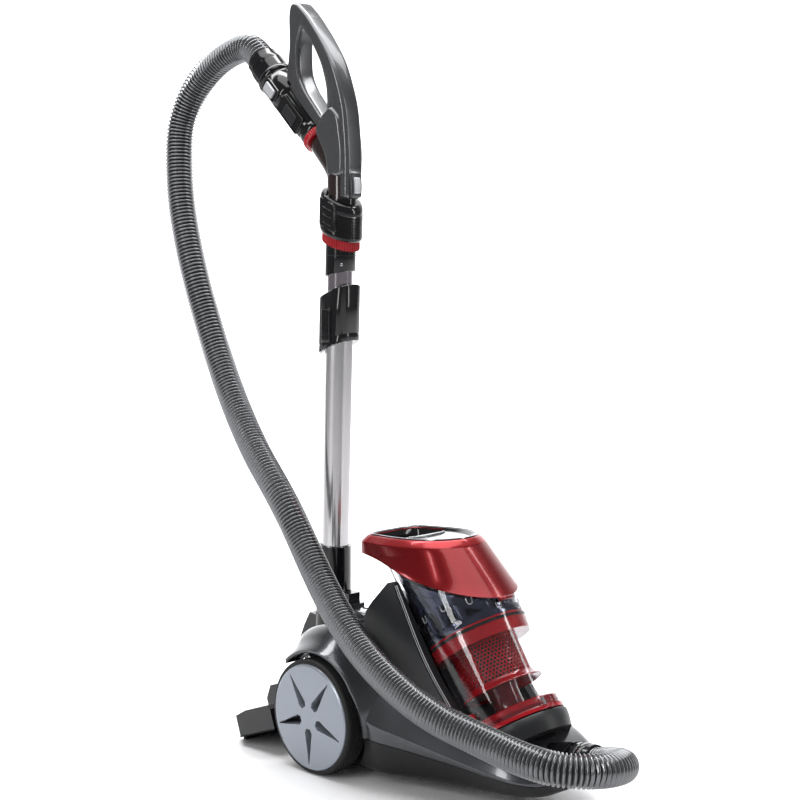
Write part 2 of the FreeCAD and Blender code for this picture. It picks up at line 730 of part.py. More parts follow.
bin_shell = cut_all(bin_tube, [latch_room, hinge_barrel(LID_HINGE_R + GAP, GAP)])
door_r = BIN_R + BIN_TAPER * BIN_FOOT
bin_door = on_bin(fused([
    Part.makeCylinder(door_r, BIN_DOOR_T, V(0, 0, BIN_FOOT - BIN_DOOR_T)),
    bin_disc(BIN_FOOT, BIN_FOOT + 5, GASKET_T + GAP),
])).cut(latch_room)
door_gasket = on_bin(bin_ring(BIN_FOOT, BIN_FOOT + 5, bin_wall_r(BIN_FOOT) - GASKET_T)).cut(latch_room)
door_latch = on_bin(solid_box(-8, 8, -BIN_R - 1, -BIN_R + 7, BIN_FOOT - BIN_DOOR_T + 1, BIN_FOOT + 9))
stem = pipe(V(0, 0, BIN_FOOT + 5), up, STEM_R, STEM_R - STEM_WALL, SHROUD_FOOT - BIN_FOOT - 5)
skirt_profile = [
    (STEM_R - STEM_WALL, SHROUD_FOOT),
    (SKIRT_R, SHROUD_FOOT - 6),
    (SKIRT_R, SHROUD_FOOT - 3.5),
    (SHROUD_R, SHROUD_FOOT + 4),
    (STEM_R - STEM_WALL, SHROUD_FOOT + 4),
]
skirt = lathe(skirt_profile).cut(rod(V(0, 0, SHROUD_FOOT - 20), up, STEM_R, 20))
shroud_top = -SEAL_T - COLLAR_T
shroud_low = SHROUD_FOOT + 4
shroud = pipe(V(0, 0, shroud_low), up, SHROUD_R, SHROUD_R - SHROUD_T, shroud_top - shroud_low)
row_pitch = (shroud_top - shroud_low - 8) / SHROUD_ROWS
hole = rod(V(SHROUD_R - 3 * SHROUD_T, 0, 0), V(1, 0, 0), SHROUD_HOLE_R, 6 * SHROUD_T)
for row in range(SHROUD_ROWS):
    drills = []
    for column in range(SHROUD_COLUMNS):
        drill = hole.copy()
        drill.translate(V(0, 0, SHROUD_FOOT + 8 + row_pitch * (row + 0.5)))
        drill.rotate(V(0, 0, 0), up, (column + 0.5 * (row % 2)) * 360 / SHROUD_COLUMNS)
        drills.append(drill)
    shroud = shroud.cut(group(drills))
collar = bin_ring(-SEAL_T - COLLAR_T, -SEAL_T, SHROUD_R - SHROUD_T)
seal_ring = bin_ring(-SEAL_T, 0, SHROUD_R - SHROUD_T)
cyclone_floor = bin_ring(0, 3, SHROUD_R - SHROUD_T - 8)
cyclone_deck = bin_disc(CLUSTER_TOP - 3, CLUSTER_TOP, GAP)
cones = []
cone_foot = V(CYCLONE_RING_R, 0, CLUSTER_TOP - 3 - CYCLONE_H)
core_r = CYCLONE_RING_R - CYCLONE_TOP_R - 2
for i in range(CYCLONES):
    cone = Part.makeCone(CYCLONE_TIP_R, CYCLONE_TOP_R, CYCLONE_H, cone_foot)
    bore = Part.makeCone(CYCLONE_TIP_R - 2, CYCLONE_TOP_R - 2, CYCLONE_H, cone_foot)
    hollow = cone.cut(bore)
    hollow.rotate(V(0, 0, 0), up, i * 360 / CYCLONES)
    cones.append(hollow)
core = pipe(V(0, 0, 3), up, core_r, core_r - 3, CLUSTER_TOP - 6)
cyclone_deck = cyclone_deck.cut(rod(V(0, 0, 0), up, core_r - 3, 2 * CLUSTER_TOP))
filter_disc = rod(V(0, 0, CLUSTER_TOP), up, FILTER_R, FILTER_T)
rim_room = under_rim_plane(RIM_CLEAR)
cyclone_cluster = on_bin(fused([cyclone_floor.fuse(core), cyclone_deck] + cones)).common(rim_room)
pre_motor_filter = on_bin(filter_disc).common(rim_room)
door_release = release_tab.cut(on_bin(bin_cone(BIN_FOOT, 0, GAP)))

# ---------------------------------------------------------------- bin lid
def lid_top_z(y):
    return LID_TOP_Z + LID_TOP_RISE * (LID_REAR_Y - y)


def lid_outline(inset, drop):
    """Closed curve round the lid's top: square at the rear, round at the front."""
    half = LID_HALF_W - inset
    rear = LID_REAR_Y - inset
    front = LID_FRONT_Y + inset
    side = [(half * 0.55, rear), (half * 0.84, rear - 6), (half * 0.93, rear - 30), (half, rear - 66)]
    side += [(half * 0.94, front + 44), (half * 0.70, front + 17), (half * 0.36, front + 3.5)]
    loop = side + [(0, front)] + [(-x, y) for x, y in reversed(side)] + [(0, rear + 0.5)]
    return smooth_loop([V(x, y, lid_top_z(y) - drop) for x, y in loop])


def rim_outline(grow):
    """Closed curve where the bin's cone meets the rim plane, matched point by point to the lid's top."""
    points = []
    tilt = math.radians(BIN_TILT)
    for angle in RIM_ANGLES:
        turn = math.radians(angle)
        x_dir = math.cos(turn)
        y_dir = math.sin(turn)
        low = -200.0
        high = 400.0
        for step in range(60):
            w = (low + high) / 2
            r = BIN_R + BIN_TAPER * w + grow
            y = BIN_SEAL_Y + w * math.sin(tilt) + r * y_dir * math.cos(tilt)
            z = BIN_SEAL_Z + w * math.cos(tilt) - r * y_dir * math.sin(tilt)
            if z < RIM_Z + RIM_SLOPE * (y - RIM_Y):
                low = w
            else:
                high = w
        points.append(V(r * x_dir, y, z))
    return smooth_loop(points)


def ruled(outlines):
    return Part.makeLoft(outlines, True, True)


RIM_ANGLES = [62, 42, 24, 2, -26, -50, -71]
RIM_ANGLES = RIM_ANGLES + [-90] + [-180 - a for a in reversed(RIM_ANGLES)] + [90]
lid_skin = ruled([rim_outline(LID_LAP), lid_outline(0, LID_BAND), lid_outline(LID_BAND_IN, 0)])
lid_void = ruled([
    rim_outline(LID_LAP - LID_WALL), lid_outline(LID_WALL, LID_BAND), lid_outline(LID_BAND_IN + 2, LID_WALL),
])
tray_outer = ruled([
    lid_outline(TRAY_MARGIN + LID_BAND_IN + 4, TRAY_DEPTH), lid_outline(TRAY_MARGIN + LID_BAND_IN, -2),
])
tray_band = solid_box(-200, 200, -400, TRAY_STEP_Y, 0, 400)

tray_hollow = ruled([
    lid_outline(TRAY_MARGIN + LID_BAND_IN + 7, TRAY_DEPTH - WALL),
    lid_outline(TRAY_MARGIN + LID_BAND_IN + WALL, -3),
])
tray_floor = ruled([lid_outline(TRAY_MARGIN, TRAY_DEPTH), lid_outline(TRAY_MARGIN, TRAY_SHALLOW)])
front_fill = tray_outer.common(tray_floor).common(tray_band)
plate_inset = TRAY_MARGIN + LID_BAND_IN + WALL + GAP + 1
plate_block = ruled([lid_outline(plate_inset, 5), lid_outline(plate_inset, 5 - PLATE_T)])
plate_y = (TRAY_STEP_Y + LID_FRONT_Y) / 2
plate_post = rod(V(0, plate_y, lid_top_z(plate_y) - 15), up, 5, 12)
post_hole = rod(V(0, plate_y, lid_top_z(plate_y) - 15 - PLATE_TRAVEL - GAP), up, 5 + GAP, 40)
tray_cup = fused([tray_outer.cut(tray_hollow), front_fill])
lid_tray = tray_cup.cut(post_hole)
lid_plate = fused([plate_block.common(tray_band), plate_post])
bin_lid = cut_all(lid_skin, [lid_void, tray_outer, under_rim_plane(-GAP)])
bin_lid = fused([bin_lid, hinge_barrel(LID_HINGE_R, 0)])
lid_tray = lid_tray.cut(under_rim_plane(-GAP))

# ---------------------------------------------------------------- wand
def on_wand(shape):
    return leaned(shape, WAND_FOOT_Y, 0, -WAND_LEAN)


def under_slant(height, drop, half_t):
    """Everything under a slanted plane: at `height` at the front, `drop` lower at the rear."""
    slope = -drop / (2 * half_t)
    front_z = height + slope * (half_t - 300)
    rear_z = height + slope * (half_t + 300)
    points = [(-300, -900), (-300, front_z), (300, rear_z), (300, -900)]
    return plate_yz(points, 200)


def slanted_block(block, low, low_drop, high, high_drop, half_t):
    return block.common(under_slant(high, high_drop, half_t)).cut(under_slant(low, low_drop, half_t))


def oval_prism(half_x, half_y, low, high):
    """A prism with four flats and four broad corners."""
    points = []
    for sx, sy in [(1, 1), (-1, 1), (-1, -1), (1, -1)]:
        corner = [(half_x, half_y * 0.45), (half_x * 0.82, half_y * 0.82), (half_x * 0.45, half_y)]
        if sx * sy < 0:
            corner = list(reversed(corner))
        points += [V(sx * x, sy * y, low) for x, y in corner]
    return face_of(points).extrude(V(0, 0, high - low))


outer_tube = on_wand(pipe(V(0, 0, TUBE_LOW), up, TUBE_OUT_R, TUBE_OUT_R - TUBE_WALL, TUBE_TOP - TUBE_LOW))
inner_tube = on_wand(pipe(V(0, 0, INNER_LOW), up, TUBE_IN_R, TUBE_IN_R - TUBE_WALL, INNER_TOP - INNER_LOW))
sleeve_block = oval_prism(SLEEVE_HALF_X, SLEEVE_HALF_Y, SLEEVE_LOW - 40, SLEEVE_TOP + 20)
sleeve_block = slanted_block(
    sleeve_block, SLEEVE_LOW + 20, SLEEVE_SLANT, SLEEVE_TOP + 9, SLEEVE_SLANT, SLEEVE_HALF_Y
)
sleeve_bore = fused([
    rod(V(0, 0, 400), up, TUBE_OUT_R, TUBE_TOP - 400),
    rod(V(0, 0, 400), up, TUBE_IN_R + GAP, 400),
])
latch_block = solid_box(
    -SLEEVE_HALF_X - 2.5, -SLEEVE_HALF_X + 1.5, -8, 8, SLEEVE_LATCH_LOW, SLEEVE_LATCH_TOP
)
latch_slot = solid_box(
    -SLEEVE_HALF_X - 9, -SLEEVE_HALF_X + 1.5 + SLIM_GAP, -8 - GAP, 8 + GAP,
    SLEEVE_LATCH_LOW - GAP, SLEEVE_LATCH_TOP + SLEEVE_LATCH_TRAVEL + GAP,
)
sleeve = on_wand(sleeve_block.cut(sleeve_bore).cut(latch_slot))
sleeve_latch = on_wand(latch_block)
wand_collar = pipe(V(0, 0, COLLAR_LOW - 40), up, COLLAR_R, TUBE_IN_R, INNER_TOP - COLLAR_LOW + 40)
wand_collar = on_wand(slanted_block(wand_collar, COLLAR_LOW + 8, 18, INNER_TOP, 0, COLLAR_R))

brush_bore = COLLAR_R
bristle_tube = pipe(V(0, 0, 640), up, BRISTLE_R, brush_bore, 80)
bristle_tube = slanted_block(bristle_tube, BRISTLE_LOW, -20, BRISTLE_TOP, -20, BRISTLE_R)
brush_tube = pipe(V(0, 0, 640), up, BRUSH_R, brush_bore, 160)
brush_tube = slanted_block(brush_tube, BRISTLE_TOP - 8, -22, BRUSH_FRONT_TOP, -28, BRUSH_R)
button_notch = solid_box(-8, 8, -BRUSH_R - 1, 0, BRUSH_FRONT_TOP - 4, BRUSH_FRONT_TOP + 60)
dusting_brush = on_wand(brush_tube.cut(bristle_tube).cut(button_notch))
brush_bristles = on_wand(bristle_tube)

# neck of the floor head, with the park hook
pivot_angle = math.radians(HEAD_DROOP)
bristle_tip = HEAD_SOLE - BRISTLE_LEN
bristle_nose = HEAD_NOSE - 4
HEAD_PIVOT_Z = bristle_nose * math.sin(pivot_angle) - bristle_tip * math.cos(pivot_angle)
neck_cone = Part.makeCone(NECK_R_LOW, NECK_R_TOP, NECK_TOP - NECK_LOW, V(0, 0, NECK_LOW))
neck_cone = slanted_block(neck_cone, NECK_LOW, 0, NECK_TOP + 3, -6, NECK_R_TOP)
neck_boot = plate_yz([
    (90, NECK_LOW + 46),
    (94, NECK_LOW),
    (HEAD_PIVOT_Y - KNUCKLE_R + 2, HEAD_PIVOT_Z),
    (HEAD_PIVOT_Y + KNUCKLE_R - 1, HEAD_PIVOT_Z),
    (HEAD_PIVOT_Y + KNUCKLE_R + 1, NECK_LOW + 8),
    (HEAD_PIVOT_Y + KNUCKLE_R + 9, NECK_LOW + 12),
    (HEAD_PIVOT_Y + KNUCKLE_R + 1, NECK_LOW + 30),
    (134, NECK_LOW + 50),
], KNUCKLE_HALF_W)
knuckle = rod(V(-KNUCKLE_HALF_W, HEAD_PIVOT_Y, HEAD_PIVOT_Z), along_x, KNUCKLE_R, 2 * KNUCKLE_HALF_W)
pin_hole = rod(V(-100, HEAD_PIVOT_Y, HEAD_PIVOT_Z), along_x, PIVOT_PIN_R + RUN_FIT, 200)
hook_top_z = SOCKET_TOP_Z + SLIM_GAP + HOOK_BRIDGE_T
hook_low_z = SOCKET_TOP_Z + SLIM_GAP
hook = fused([
    solid_box(-HOOK_HALF_W, HOOK_HALF_W, HOOK_Y - HOOK_T / 2, HOOK_Y + HOOK_T / 2, HOOK_FOOT_Z, hook_top_z),
    solid_box(-HOOK_HALF_W, HOOK_HALF_W, HOOK_Y - HOOK_T / 2, WAND_FOOT_Y - 20, hook_low_z, hook_top_z),
])
neck_bore = on_wand(fused([
    rod(V(0, 0, TUBE_LOW), up, TUBE_OUT_R, 100),
    rod(V(0, 0, NECK_LOW + 26), up, TUBE_OUT_R - 3, 200),
]))
neck = fused([on_wand(neck_cone), neck_boot, knuckle, hook]).cut(neck_bore).cut(pin_hole)
socket_clear = solid_box(
    -socket_half_w - GAP, socket_half_w + GAP, HOOK_Y - 40, HOOK_Y + socket_half_t + GAP, 0, hook_low_z
)
neck = neck.cut(socket_clear.cut(hook))


# ---------------------------------------------------------------- floor head
def on_head(shape):
    return leaned(shape, HEAD_PIVOT_Y, HEAD_PIVOT_Z, HEAD_DROOP)


head_side = [
    (HEAD_BACK, HEAD_SOLE),
    (HEAD_BACK, HEAD_TOP - 6),
    (HEAD_BACK + 6, HEAD_TOP),
    (20, HEAD_TOP),
    (44, HEAD_TOP - 4),
    (60, HEAD_TOP - 13),
    (HEAD_NOSE, HEAD_TOP - 25),
    (HEAD_NOSE, HEAD_SOLE),
]
ear_x = KNUCKLE_HALF_W + GAP
ear = fused([
    rod(V(ear_x, 0, 0), along_x, KNUCKLE_R - 1, EAR_T),
    solid_box(ear_x, ear_x + EAR_T, 1 - KNUCKLE_R, KNUCKLE_R - 1, HEAD_TOP - 4, 0),
])
knuckle_room = rod(V(-ear_x, 0, 0), along_x, KNUCKLE_R + 2, 2 * ear_x)
suction_slot = solid_box(-SLOT_HALF_W, SLOT_HALF_W, SLOT_BACK, SLOT_NOSE, HEAD_SOLE - 9, HEAD_SOLE + 20)
pivot_pin = rod(V(-ear_x - EAR_T, 0, 0), along_x, PIVOT_PIN_R, 2 * (ear_x + EAR_T))
rocker_recess = solid_box(
    ROCKER_X - 1, ROCKER_X + ROCKER_W + 1, HEAD_BACK + 4, 2, HEAD_TOP - 12, HEAD_TOP + 30
)
rocker_axis = V(ROCKER_X - 3, (HEAD_BACK + 6) / 2, HEAD_TOP - 6)
rocker_hole = rod(rocker_axis - V(1, 0, 0), along_x, 2 + RUN_FIT, ROCKER_W + 8)
head_block = plate_yz(head_side, HEAD_HALF_W)
corner_cutters = []
for side in (-1, 1):
    corner = face_of([
        V(side * (HEAD_HALF_W - 18), HEAD_NOSE + 1, -100),
        V(side * (HEAD_HALF_W + 1), HEAD_NOSE + 1, -100),
        V(side * (HEAD_HALF_W + 1), HEAD_NOSE - 26, -100),
    ]).extrude(V(0, 0, 200))
    corner_cutters.append(corner)
hump = plate_yz([
    (HUMP_BACK, HEAD_TOP - 4),
    (HUMP_BACK, HUMP_TOP),
    (HUMP_NOSE - 14, HUMP_TOP),
    (HUMP_NOSE, HUMP_TOP - 16),
    (HUMP_NOSE, HEAD_TOP - 14),
], HUMP_HALF_W)
head_body = fused([head_block, hump, ear, mirrored(ear)])
head_cuts = [knuckle_room, suction_slot, pivot_pin, rocker_recess, rocker_hole]
head_body = cut_all(head_body, head_cuts + corner_cutters)
sole_plate = solid_box(-HEAD_HALF_W, HEAD_HALF_W, HEAD_BACK, HEAD_NOSE, HEAD_SOLE - 2, HEAD_SOLE)
head_sole = cut_all(sole_plate, [suction_slot] + corner_cutters)
strip_half = HEAD_HALF_W - 20
front_strip = solid_box(-strip_half, strip_half, bristle_nose - 6, bristle_nose, bristle_tip, HEAD_SOLE - 2)
rear_strip = solid_box(-strip_half, strip_half, HEAD_BACK + 4, HEAD_BACK + 10, bristle_tip, HEAD_SOLE - 2)
rocker = fused([
    solid_box(ROCKER_X, ROCKER_X + ROCKER_W, HEAD_BACK + 7, -1, HEAD_TOP - 5, HEAD_TOP + 2),
    rod(rocker_axis, along_x, 2, ROCKER_W + 6),
    rod(V(ROCKER_X, rocker_axis.y, rocker_axis.z), along_x, 4, ROCKER_W),
])

# ---------------------------------------------------------------- handle
pipe_lean = math.degrees(math.atan2(CUFF_END_Y - RING_Y, CUFF_END_Z - RING_Z))
pipe_run = (RING_Y - PIPE_TURN_Y) / math.sin(math.radians(pipe_lean))
pipe_turn_z = RING_Z - pipe_run * math.cos(math.radians(pipe_lean))


def on_pipe(shape):
    """Carry a shape from +Z at the origin to the slanted handle pipe, with the ring at the origin."""
    return leaned(shape, RING_Y, RING_Z, pipe_lean)


def pipe_shape(radius):
    return fused([
        rod(V(0, PIPE_TURN_Y, PIPE_LOW_Z), up, radius, pipe_turn_z - PIPE_LOW_Z),
        Part.makeSphere(radius, V(0, PIPE_TURN_Y, pipe_turn_z)),
        on_pipe(rod(V(0, 0, -pipe_run), up, radius, pipe_run - RING_T / 2)),
    ])


inner_top = on_wand(rod(V(0, 0, 0), up, COLLAR_R, INNER_TOP))
swivel_bore_r = SWIVEL_R - PIPE_WALL
pipe_outside = pipe_shape(PIPE_R)
swivel_bore = on_pipe(rod(V(0, 0, -RING_T), up, swivel_bore_r, 2 * RING_T + SWIVEL_LEN))
swivel_spigot = on_pipe(rod(V(0, 0, -RING_T / 2), up, SWIVEL_R, RING_T + SWIVEL_LEN))
handle_pipe = fused([pipe_outside, swivel_spigot])
handle_pipe = cut_all(handle_pipe, [fused([pipe_shape(swivel_bore_r), swivel_bore]), inner_top])
ring_low = GAP - RING_T / 2
suction_ring = on_pipe(fused([
    pipe(V(0, 0, ring_low), up, RING_R, SWIVEL_R + RUN_FIT, RING_T - 2 * GAP),
    solid_box(-3.5, 3.5, RING_R - 2, RING_R + 3, ring_low, -ring_low).cut(
        rod(V(0, 0, ring_low), up, RING_R - 1, RING_T)
    ),
]))
grip_outline = [
    (63, PIPE_LOW_Z), (62, 802), (68, 857), (78, 888), (92, 920), (116, 952), (146, 985), (166, 1000),
    (176, 998), (181, 985), (180, 941), (184, 917), (190, 893), (186, 876), (166, 848), (134, 812),
    (110, 784), (106, PIPE_LOW_Z),
]
finger_hole = [
    (155, 966), (162, 944), (161, 905), (150, 885), (113, 846),
    (103, 856), (104, 884), (114, 914), (134, 945),
]
saddle_outline = [
    (68, 762), (66, 800), (76, 852), (103, 862), (113, 846), (150, 885), (184, 893),
    (166, 850), (134, 812), (106, 775), (100, 762),
]
grip = plate_yz(grip_outline, HANDLE_HALF_W)
saddle = plate_yz(saddle_outline, SADDLE_HALF_W)
finger_room = plate_yz(finger_hole, 3 * HANDLE_HALF_W)
barrel = rod(V(0, PIPE_TURN_Y, PIPE_LOW_Z), up, BARREL_R, BARREL_TOP_Z - PIPE_LOW_Z)
handle_button = solid_box(
    -5, 5, GRIP_BUTTON_FRONT_Y, GRIP_BUTTON_REAR_Y, GRIP_BUTTON_LOW, GRIP_BUTTON_TOP
)
grip_button_slot = solid_box(
    -5 - GAP, 5 + GAP, GRIP_BUTTON_FRONT_Y - 9, GRIP_BUTTON_REAR_Y + GRIP_BUTTON_TRAVEL + GAP,
    GRIP_BUTTON_LOW - GAP, GRIP_BUTTON_TOP + GAP,
)
connector_clear = on_pipe(rod(V(0, 0, 0), up, CONNECTOR_R + GAP, 300))
ring_clear = on_pipe(rod(V(0, 0, -RING_T / 2), up, RING_R + 3 + GAP, RING_T + GAP))
cuff_clear = on_pipe(rod(V(0, 0, CONNECTOR_LEN - 4 - GAP), up, CUFF_R + 1.5 + 2 * GAP, 300))
brush_top = on_wand(under_slant(BRUSH_FRONT_TOP + GAP, -28, BRUSH_R))
brush_clear = on_wand(rod(V(0, 0, 0), up, BRUSH_R + 1, 900)).common(brush_top)
brush_clear = brush_clear.cut(rod(V(0, PIPE_TURN_Y, 0), up, BARREL_R, 900))
handle_grip = fused([grip, saddle, barrel])
handle_grip = cut_all(handle_grip, [
    finger_room, pipe_outside, connector_clear, ring_clear, cuff_clear,
    grip_button_slot, brush_clear, inner_top,
])

# ---------------------------------------------------------------- cuffs and hose
handle_cuff_end = math.hypot(CUFF_END_Y - RING_Y, CUFF_END_Z - RING_Z)
connector_low = RING_T / 2 + GAP
cuff_button_x = -CUFF_R - 1.5
cuff_profile = [
    (HOSE_BORE_R, SWIVEL_LEN + 12),
    (SWIVEL_R + RUN_FIT, SWIVEL_LEN + 10),
    (SWIVEL_R + RUN_FIT, connector_low),
    (CONNECTOR_R, connector_low),
    (CONNECTOR_R, CONNECTOR_LEN - 4),
    (CUFF_R, CONNECTOR_LEN),
    (CUFF_R, handle_cuff_end - 18),
    (CUFF_R - 1.5, handle_cuff_end - 16),
    (CUFF_R - 2.5, handle_cuff_end),
    (HOSE_BORE_R, handle_cuff_end),
]
button_end = CUFF_BUTTON_T + CUFF_BUTTON_LEN
cuff_button_slot = solid_box(
    cuff_button_x - 9, cuff_button_x + 5 + CUFF_BUTTON_TRAVEL + GAP, -6 - GAP, 6 + GAP,
    CUFF_BUTTON_T - GAP, button_end + GAP,
)
handle_cuff = on_pipe(lathe(cuff_profile).cut(cuff_button_slot))
cuff_button = on_pipe(solid_box(cuff_button_x, cuff_button_x + 5, -6, 6, CUFF_BUTTON_T, button_end))
front_profile = [
    (HOSE_BORE_R, -SPIGOT_LEN),
    (SPIGOT_R, -SPIGOT_LEN),
    (SPIGOT_R, GAP),
    (CUFF_R + 0.5, GAP),
    (CUFF_R + 0.5, 12),
    (CUFF_R - 1, 13),
    (CUFF_R - 1, 17),
    (CUFF_R, 18),
    (CUFF_R, FRONT_CUFF_LEN - 8),
    (CUFF_R - 2, FRONT_CUFF_LEN),
    (HOSE_BORE_R, FRONT_CUFF_LEN),
]
front_cuff = inlet_at(lathe(front_profile))

inlet_dir = V(0, -math.cos(math.radians(INLET_RISE)), math.sin(math.radians(INLET_RISE)))
hose_start = V(0, INLET_Y, INLET_Z) + inlet_dir * FRONT_CUFF_LEN
hose_end = V(0, CUFF_END_Y, CUFF_END_Z)
pipe_dir = (hose_end - V(0, RING_Y, RING_Z)).normalize()
hose_points = [hose_start, hose_start + inlet_dir * HOSE_FIRST_RUN]
hose_points += [V(*point) for point in HOSE_ROUTE]
hose_points += [hose_end + pipe_dir * HOSE_LAST_RUN, hose_end]


def rounded_path(points):
    """Straight runs joined by arcs that touch both neighbours; returns the wire and the arc radii."""
    edges = []
    radii = []
    last = points[0]
    for before, corner, after in zip(points, points[1:], points[2:]):
        run_in = (corner - before).normalize()
        run_out = (after - corner).normalize()
        reach = 0.45 * min((corner - before).Length, (after - corner).Length)
        turn = run_in.getAngle(run_out)
        radii.append(reach / math.tan(turn / 2))
        enter = corner - run_in * reach
        leave = corner + run_out * reach
        inward = (run_out - run_in).normalize()
        sagitta = radii[-1] / math.cos(turn / 2) - radii[-1]
        middle = corner + inward * sagitta
        edges.append(Part.LineSegment(last, enter).toShape())
        edges.append(Part.Arc(enter, middle, leave).toShape())
        last = leave
    edges.append(Part.LineSegment(last, points[-1]).toShape())
    return Part.Wire(edges), radii


hose_path, hose_radii = rounded_path(hose_points)
hose_ring = Part.Face([
    Part.Wire(Part.makeCircle(HOSE_R, hose_start, inlet_dir)),
    Part.Wire(Part.makeCircle(HOSE_BORE_R, hose_start, inlet_dir)),
])
hose = hose_path.makePipe(hose_ring)
if hose.Volume < 0:
    hose.reverse()
ideal_volume = hose_ring.Area * hose_path.Length

# ---------------------------------------------------------------- the separate pieces
nodes = {
    "lower_shell": lower_shell,
    "body_shell": body_shell,
    "park_socket": park_socket,
    "bin_cradle": bin_cradle,
    "motor_housing": motor_housing,
    "motor": motor,
    "motor_mount": motor_mount,
    "cord_reel": reel,
    "exhaust_filter": exhaust_filter,
    "exhaust_grille": exhaust_grille,
    "cord_inlet": cord_inlet,
    "axle_stubs": group([axle_stub, mirrored(axle_stub)]),
    "hose_inlet": hose_inlet,
    "inlet_button": inlet_button,
    "screws": group(screws),
    "power_pedal": pedal(-1, 0),
    "rewind_pedal": pedal(1, 0),
    "hub_left": mirrored(hub),
    "tyre_left": mirrored(tyre),
    "hub_right": hub,
    "tyre_right": tyre,
    "caster_fork": caster_fork,
    "caster_axle": caster_axle,
    "caster_wheel": caster_wheel,
    "bin_shell": bin_shell,
    "bin_door": bin_door,
    "door_gasket": door_gasket,
    "door_latch": door_latch,
    "door_release": door_release,
    "bin_stem": on_bin(stem),
    "bin_skirt": on_bin(skirt),
    "bin_shroud": on_bin(shroud),
    "bin_collar": on_bin(collar),
    "bin_seal": on_bin(seal_ring),
    "cyclone_cluster": cyclone_cluster,
    "pre_motor_filter": pre_motor_filter,
    "bin_lid": bin_lid,
    "lid_tray": lid_tray,
    "lid_plate": lid_plate,
    "wand_neck": neck,
    "wand_outer_tube": outer_tube,
    "wand_sleeve": sleeve,
    "sleeve_latch": sleeve_latch,
    "wand_inner_tube": inner_tube,
    "wand_collar": wand_collar,
    "dusting_brush": dusting_brush,
    "brush_bristles": brush_bristles,
    "handle_pipe": handle_pipe,
    "handle_grip": handle_grip,
    "handle_button": handle_button,
    "suction_ring": suction_ring,
    "handle_cuff": handle_cuff,
    "cuff_button": cuff_button,
    "front_cuff": front_cuff,
    "hose": hose,
    "head_body": on_head(head_body),
    "head_sole": on_head(head_sole),
    "head_strips": on_head(group([front_strip, rear_strip])),
    "head_pin": on_head(pivot_pin),
    "head_rocker": on_head(rocker),
}

footprint = FreeCAD.BoundBox()
for name, shape in nodes.items():
    if name != "hose":
        footprint.add(shape.BoundBox)
shift = V(-footprint.Center.x, -footprint.Center.y, -footprint.ZMin)

os.makedirs("parts", exist_ok=True)
for name, shape in nodes.items():
    placed = shape.copy()
    placed.translate(shift)
    placed.exportStep("parts/" + name + ".step")

print("shift", shift)
print("footprint", footprint.XLength, footprint.YLength, footprint.ZLength)
print("hose radii", [round(radius) for radius in hose_radii], "length", round(hose_path.Length))
print("hose volume", round(hose.Volume), "section by length", round(ideal_volume))
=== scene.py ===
import math

import bmesh
import bpy
from mathutils import Matrix, Vector


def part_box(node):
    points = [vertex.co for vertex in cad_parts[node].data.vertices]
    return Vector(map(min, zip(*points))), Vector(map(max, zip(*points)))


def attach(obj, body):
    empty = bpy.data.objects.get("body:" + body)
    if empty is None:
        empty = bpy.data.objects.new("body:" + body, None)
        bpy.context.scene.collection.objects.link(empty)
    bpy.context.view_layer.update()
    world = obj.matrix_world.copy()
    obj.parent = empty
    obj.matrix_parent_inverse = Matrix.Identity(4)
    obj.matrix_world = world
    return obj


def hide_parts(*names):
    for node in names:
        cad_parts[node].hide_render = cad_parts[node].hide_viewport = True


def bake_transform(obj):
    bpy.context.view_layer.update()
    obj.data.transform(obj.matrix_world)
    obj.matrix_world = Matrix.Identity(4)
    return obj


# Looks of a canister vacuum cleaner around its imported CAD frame. Lengths in this script are in
# millimetres from the point on the floor under the wheel axle, as in the CAD source; at() and the
# frames below bring them to metres in the row frame.

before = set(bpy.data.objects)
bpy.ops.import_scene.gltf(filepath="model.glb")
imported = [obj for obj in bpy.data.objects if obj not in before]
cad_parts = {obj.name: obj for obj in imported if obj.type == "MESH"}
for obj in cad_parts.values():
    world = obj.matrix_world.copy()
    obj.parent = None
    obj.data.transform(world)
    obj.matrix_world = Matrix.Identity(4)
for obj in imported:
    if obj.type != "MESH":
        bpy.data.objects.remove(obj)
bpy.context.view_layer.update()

tyre_low, tyre_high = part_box("tyre_left")
AXLE_Y = (tyre_low.y + tyre_high.y) / 2
WHEEL_R = (tyre_high.z - tyre_low.z) / 2 * 1000
MM = 0.001


def at(x, y, z):
    return Vector((x * MM, y * MM + AXLE_Y, z * MM))


def leaning(y, z, degrees):
    """Matrix from millimetres about an axis that leans towards +Y to metres in the row frame."""
    return Matrix.Translation(at(0, y, z)) @ Matrix.Rotation(-math.radians(degrees), 4,
        "X") @ Matrix.Scale(MM, 4)


UPRIGHT = leaning(0, 0, 0)
BIN_Y, BIN_Z, BIN_LEAN = -168.0, 192.5, 34.0
BIN = leaning(BIN_Y, BIN_Z, BIN_LEAN)
WAND = leaning(115.4, 0, -2.06)
INLET_Y, INLET_Z, INLET_RISE = -338.0, 62.0, 14.0
INLET = leaning(INLET_Y, INLET_Z, INLET_RISE - 90.0)
RING_Y, RING_Z = 134.0, 819.0
CUFF_END_Y, CUFF_END_Z = 252.0, 926.5
PIPE_LEAN = math.degrees(math.atan2(CUFF_END_Y - RING_Y, CUFF_END_Z - RING_Z))
PIPE = leaning(RING_Y, RING_Z, PIPE_LEAN)
CUFF_LEN = math.hypot(CUFF_END_Y - RING_Y, CUFF_END_Z - RING_Z)

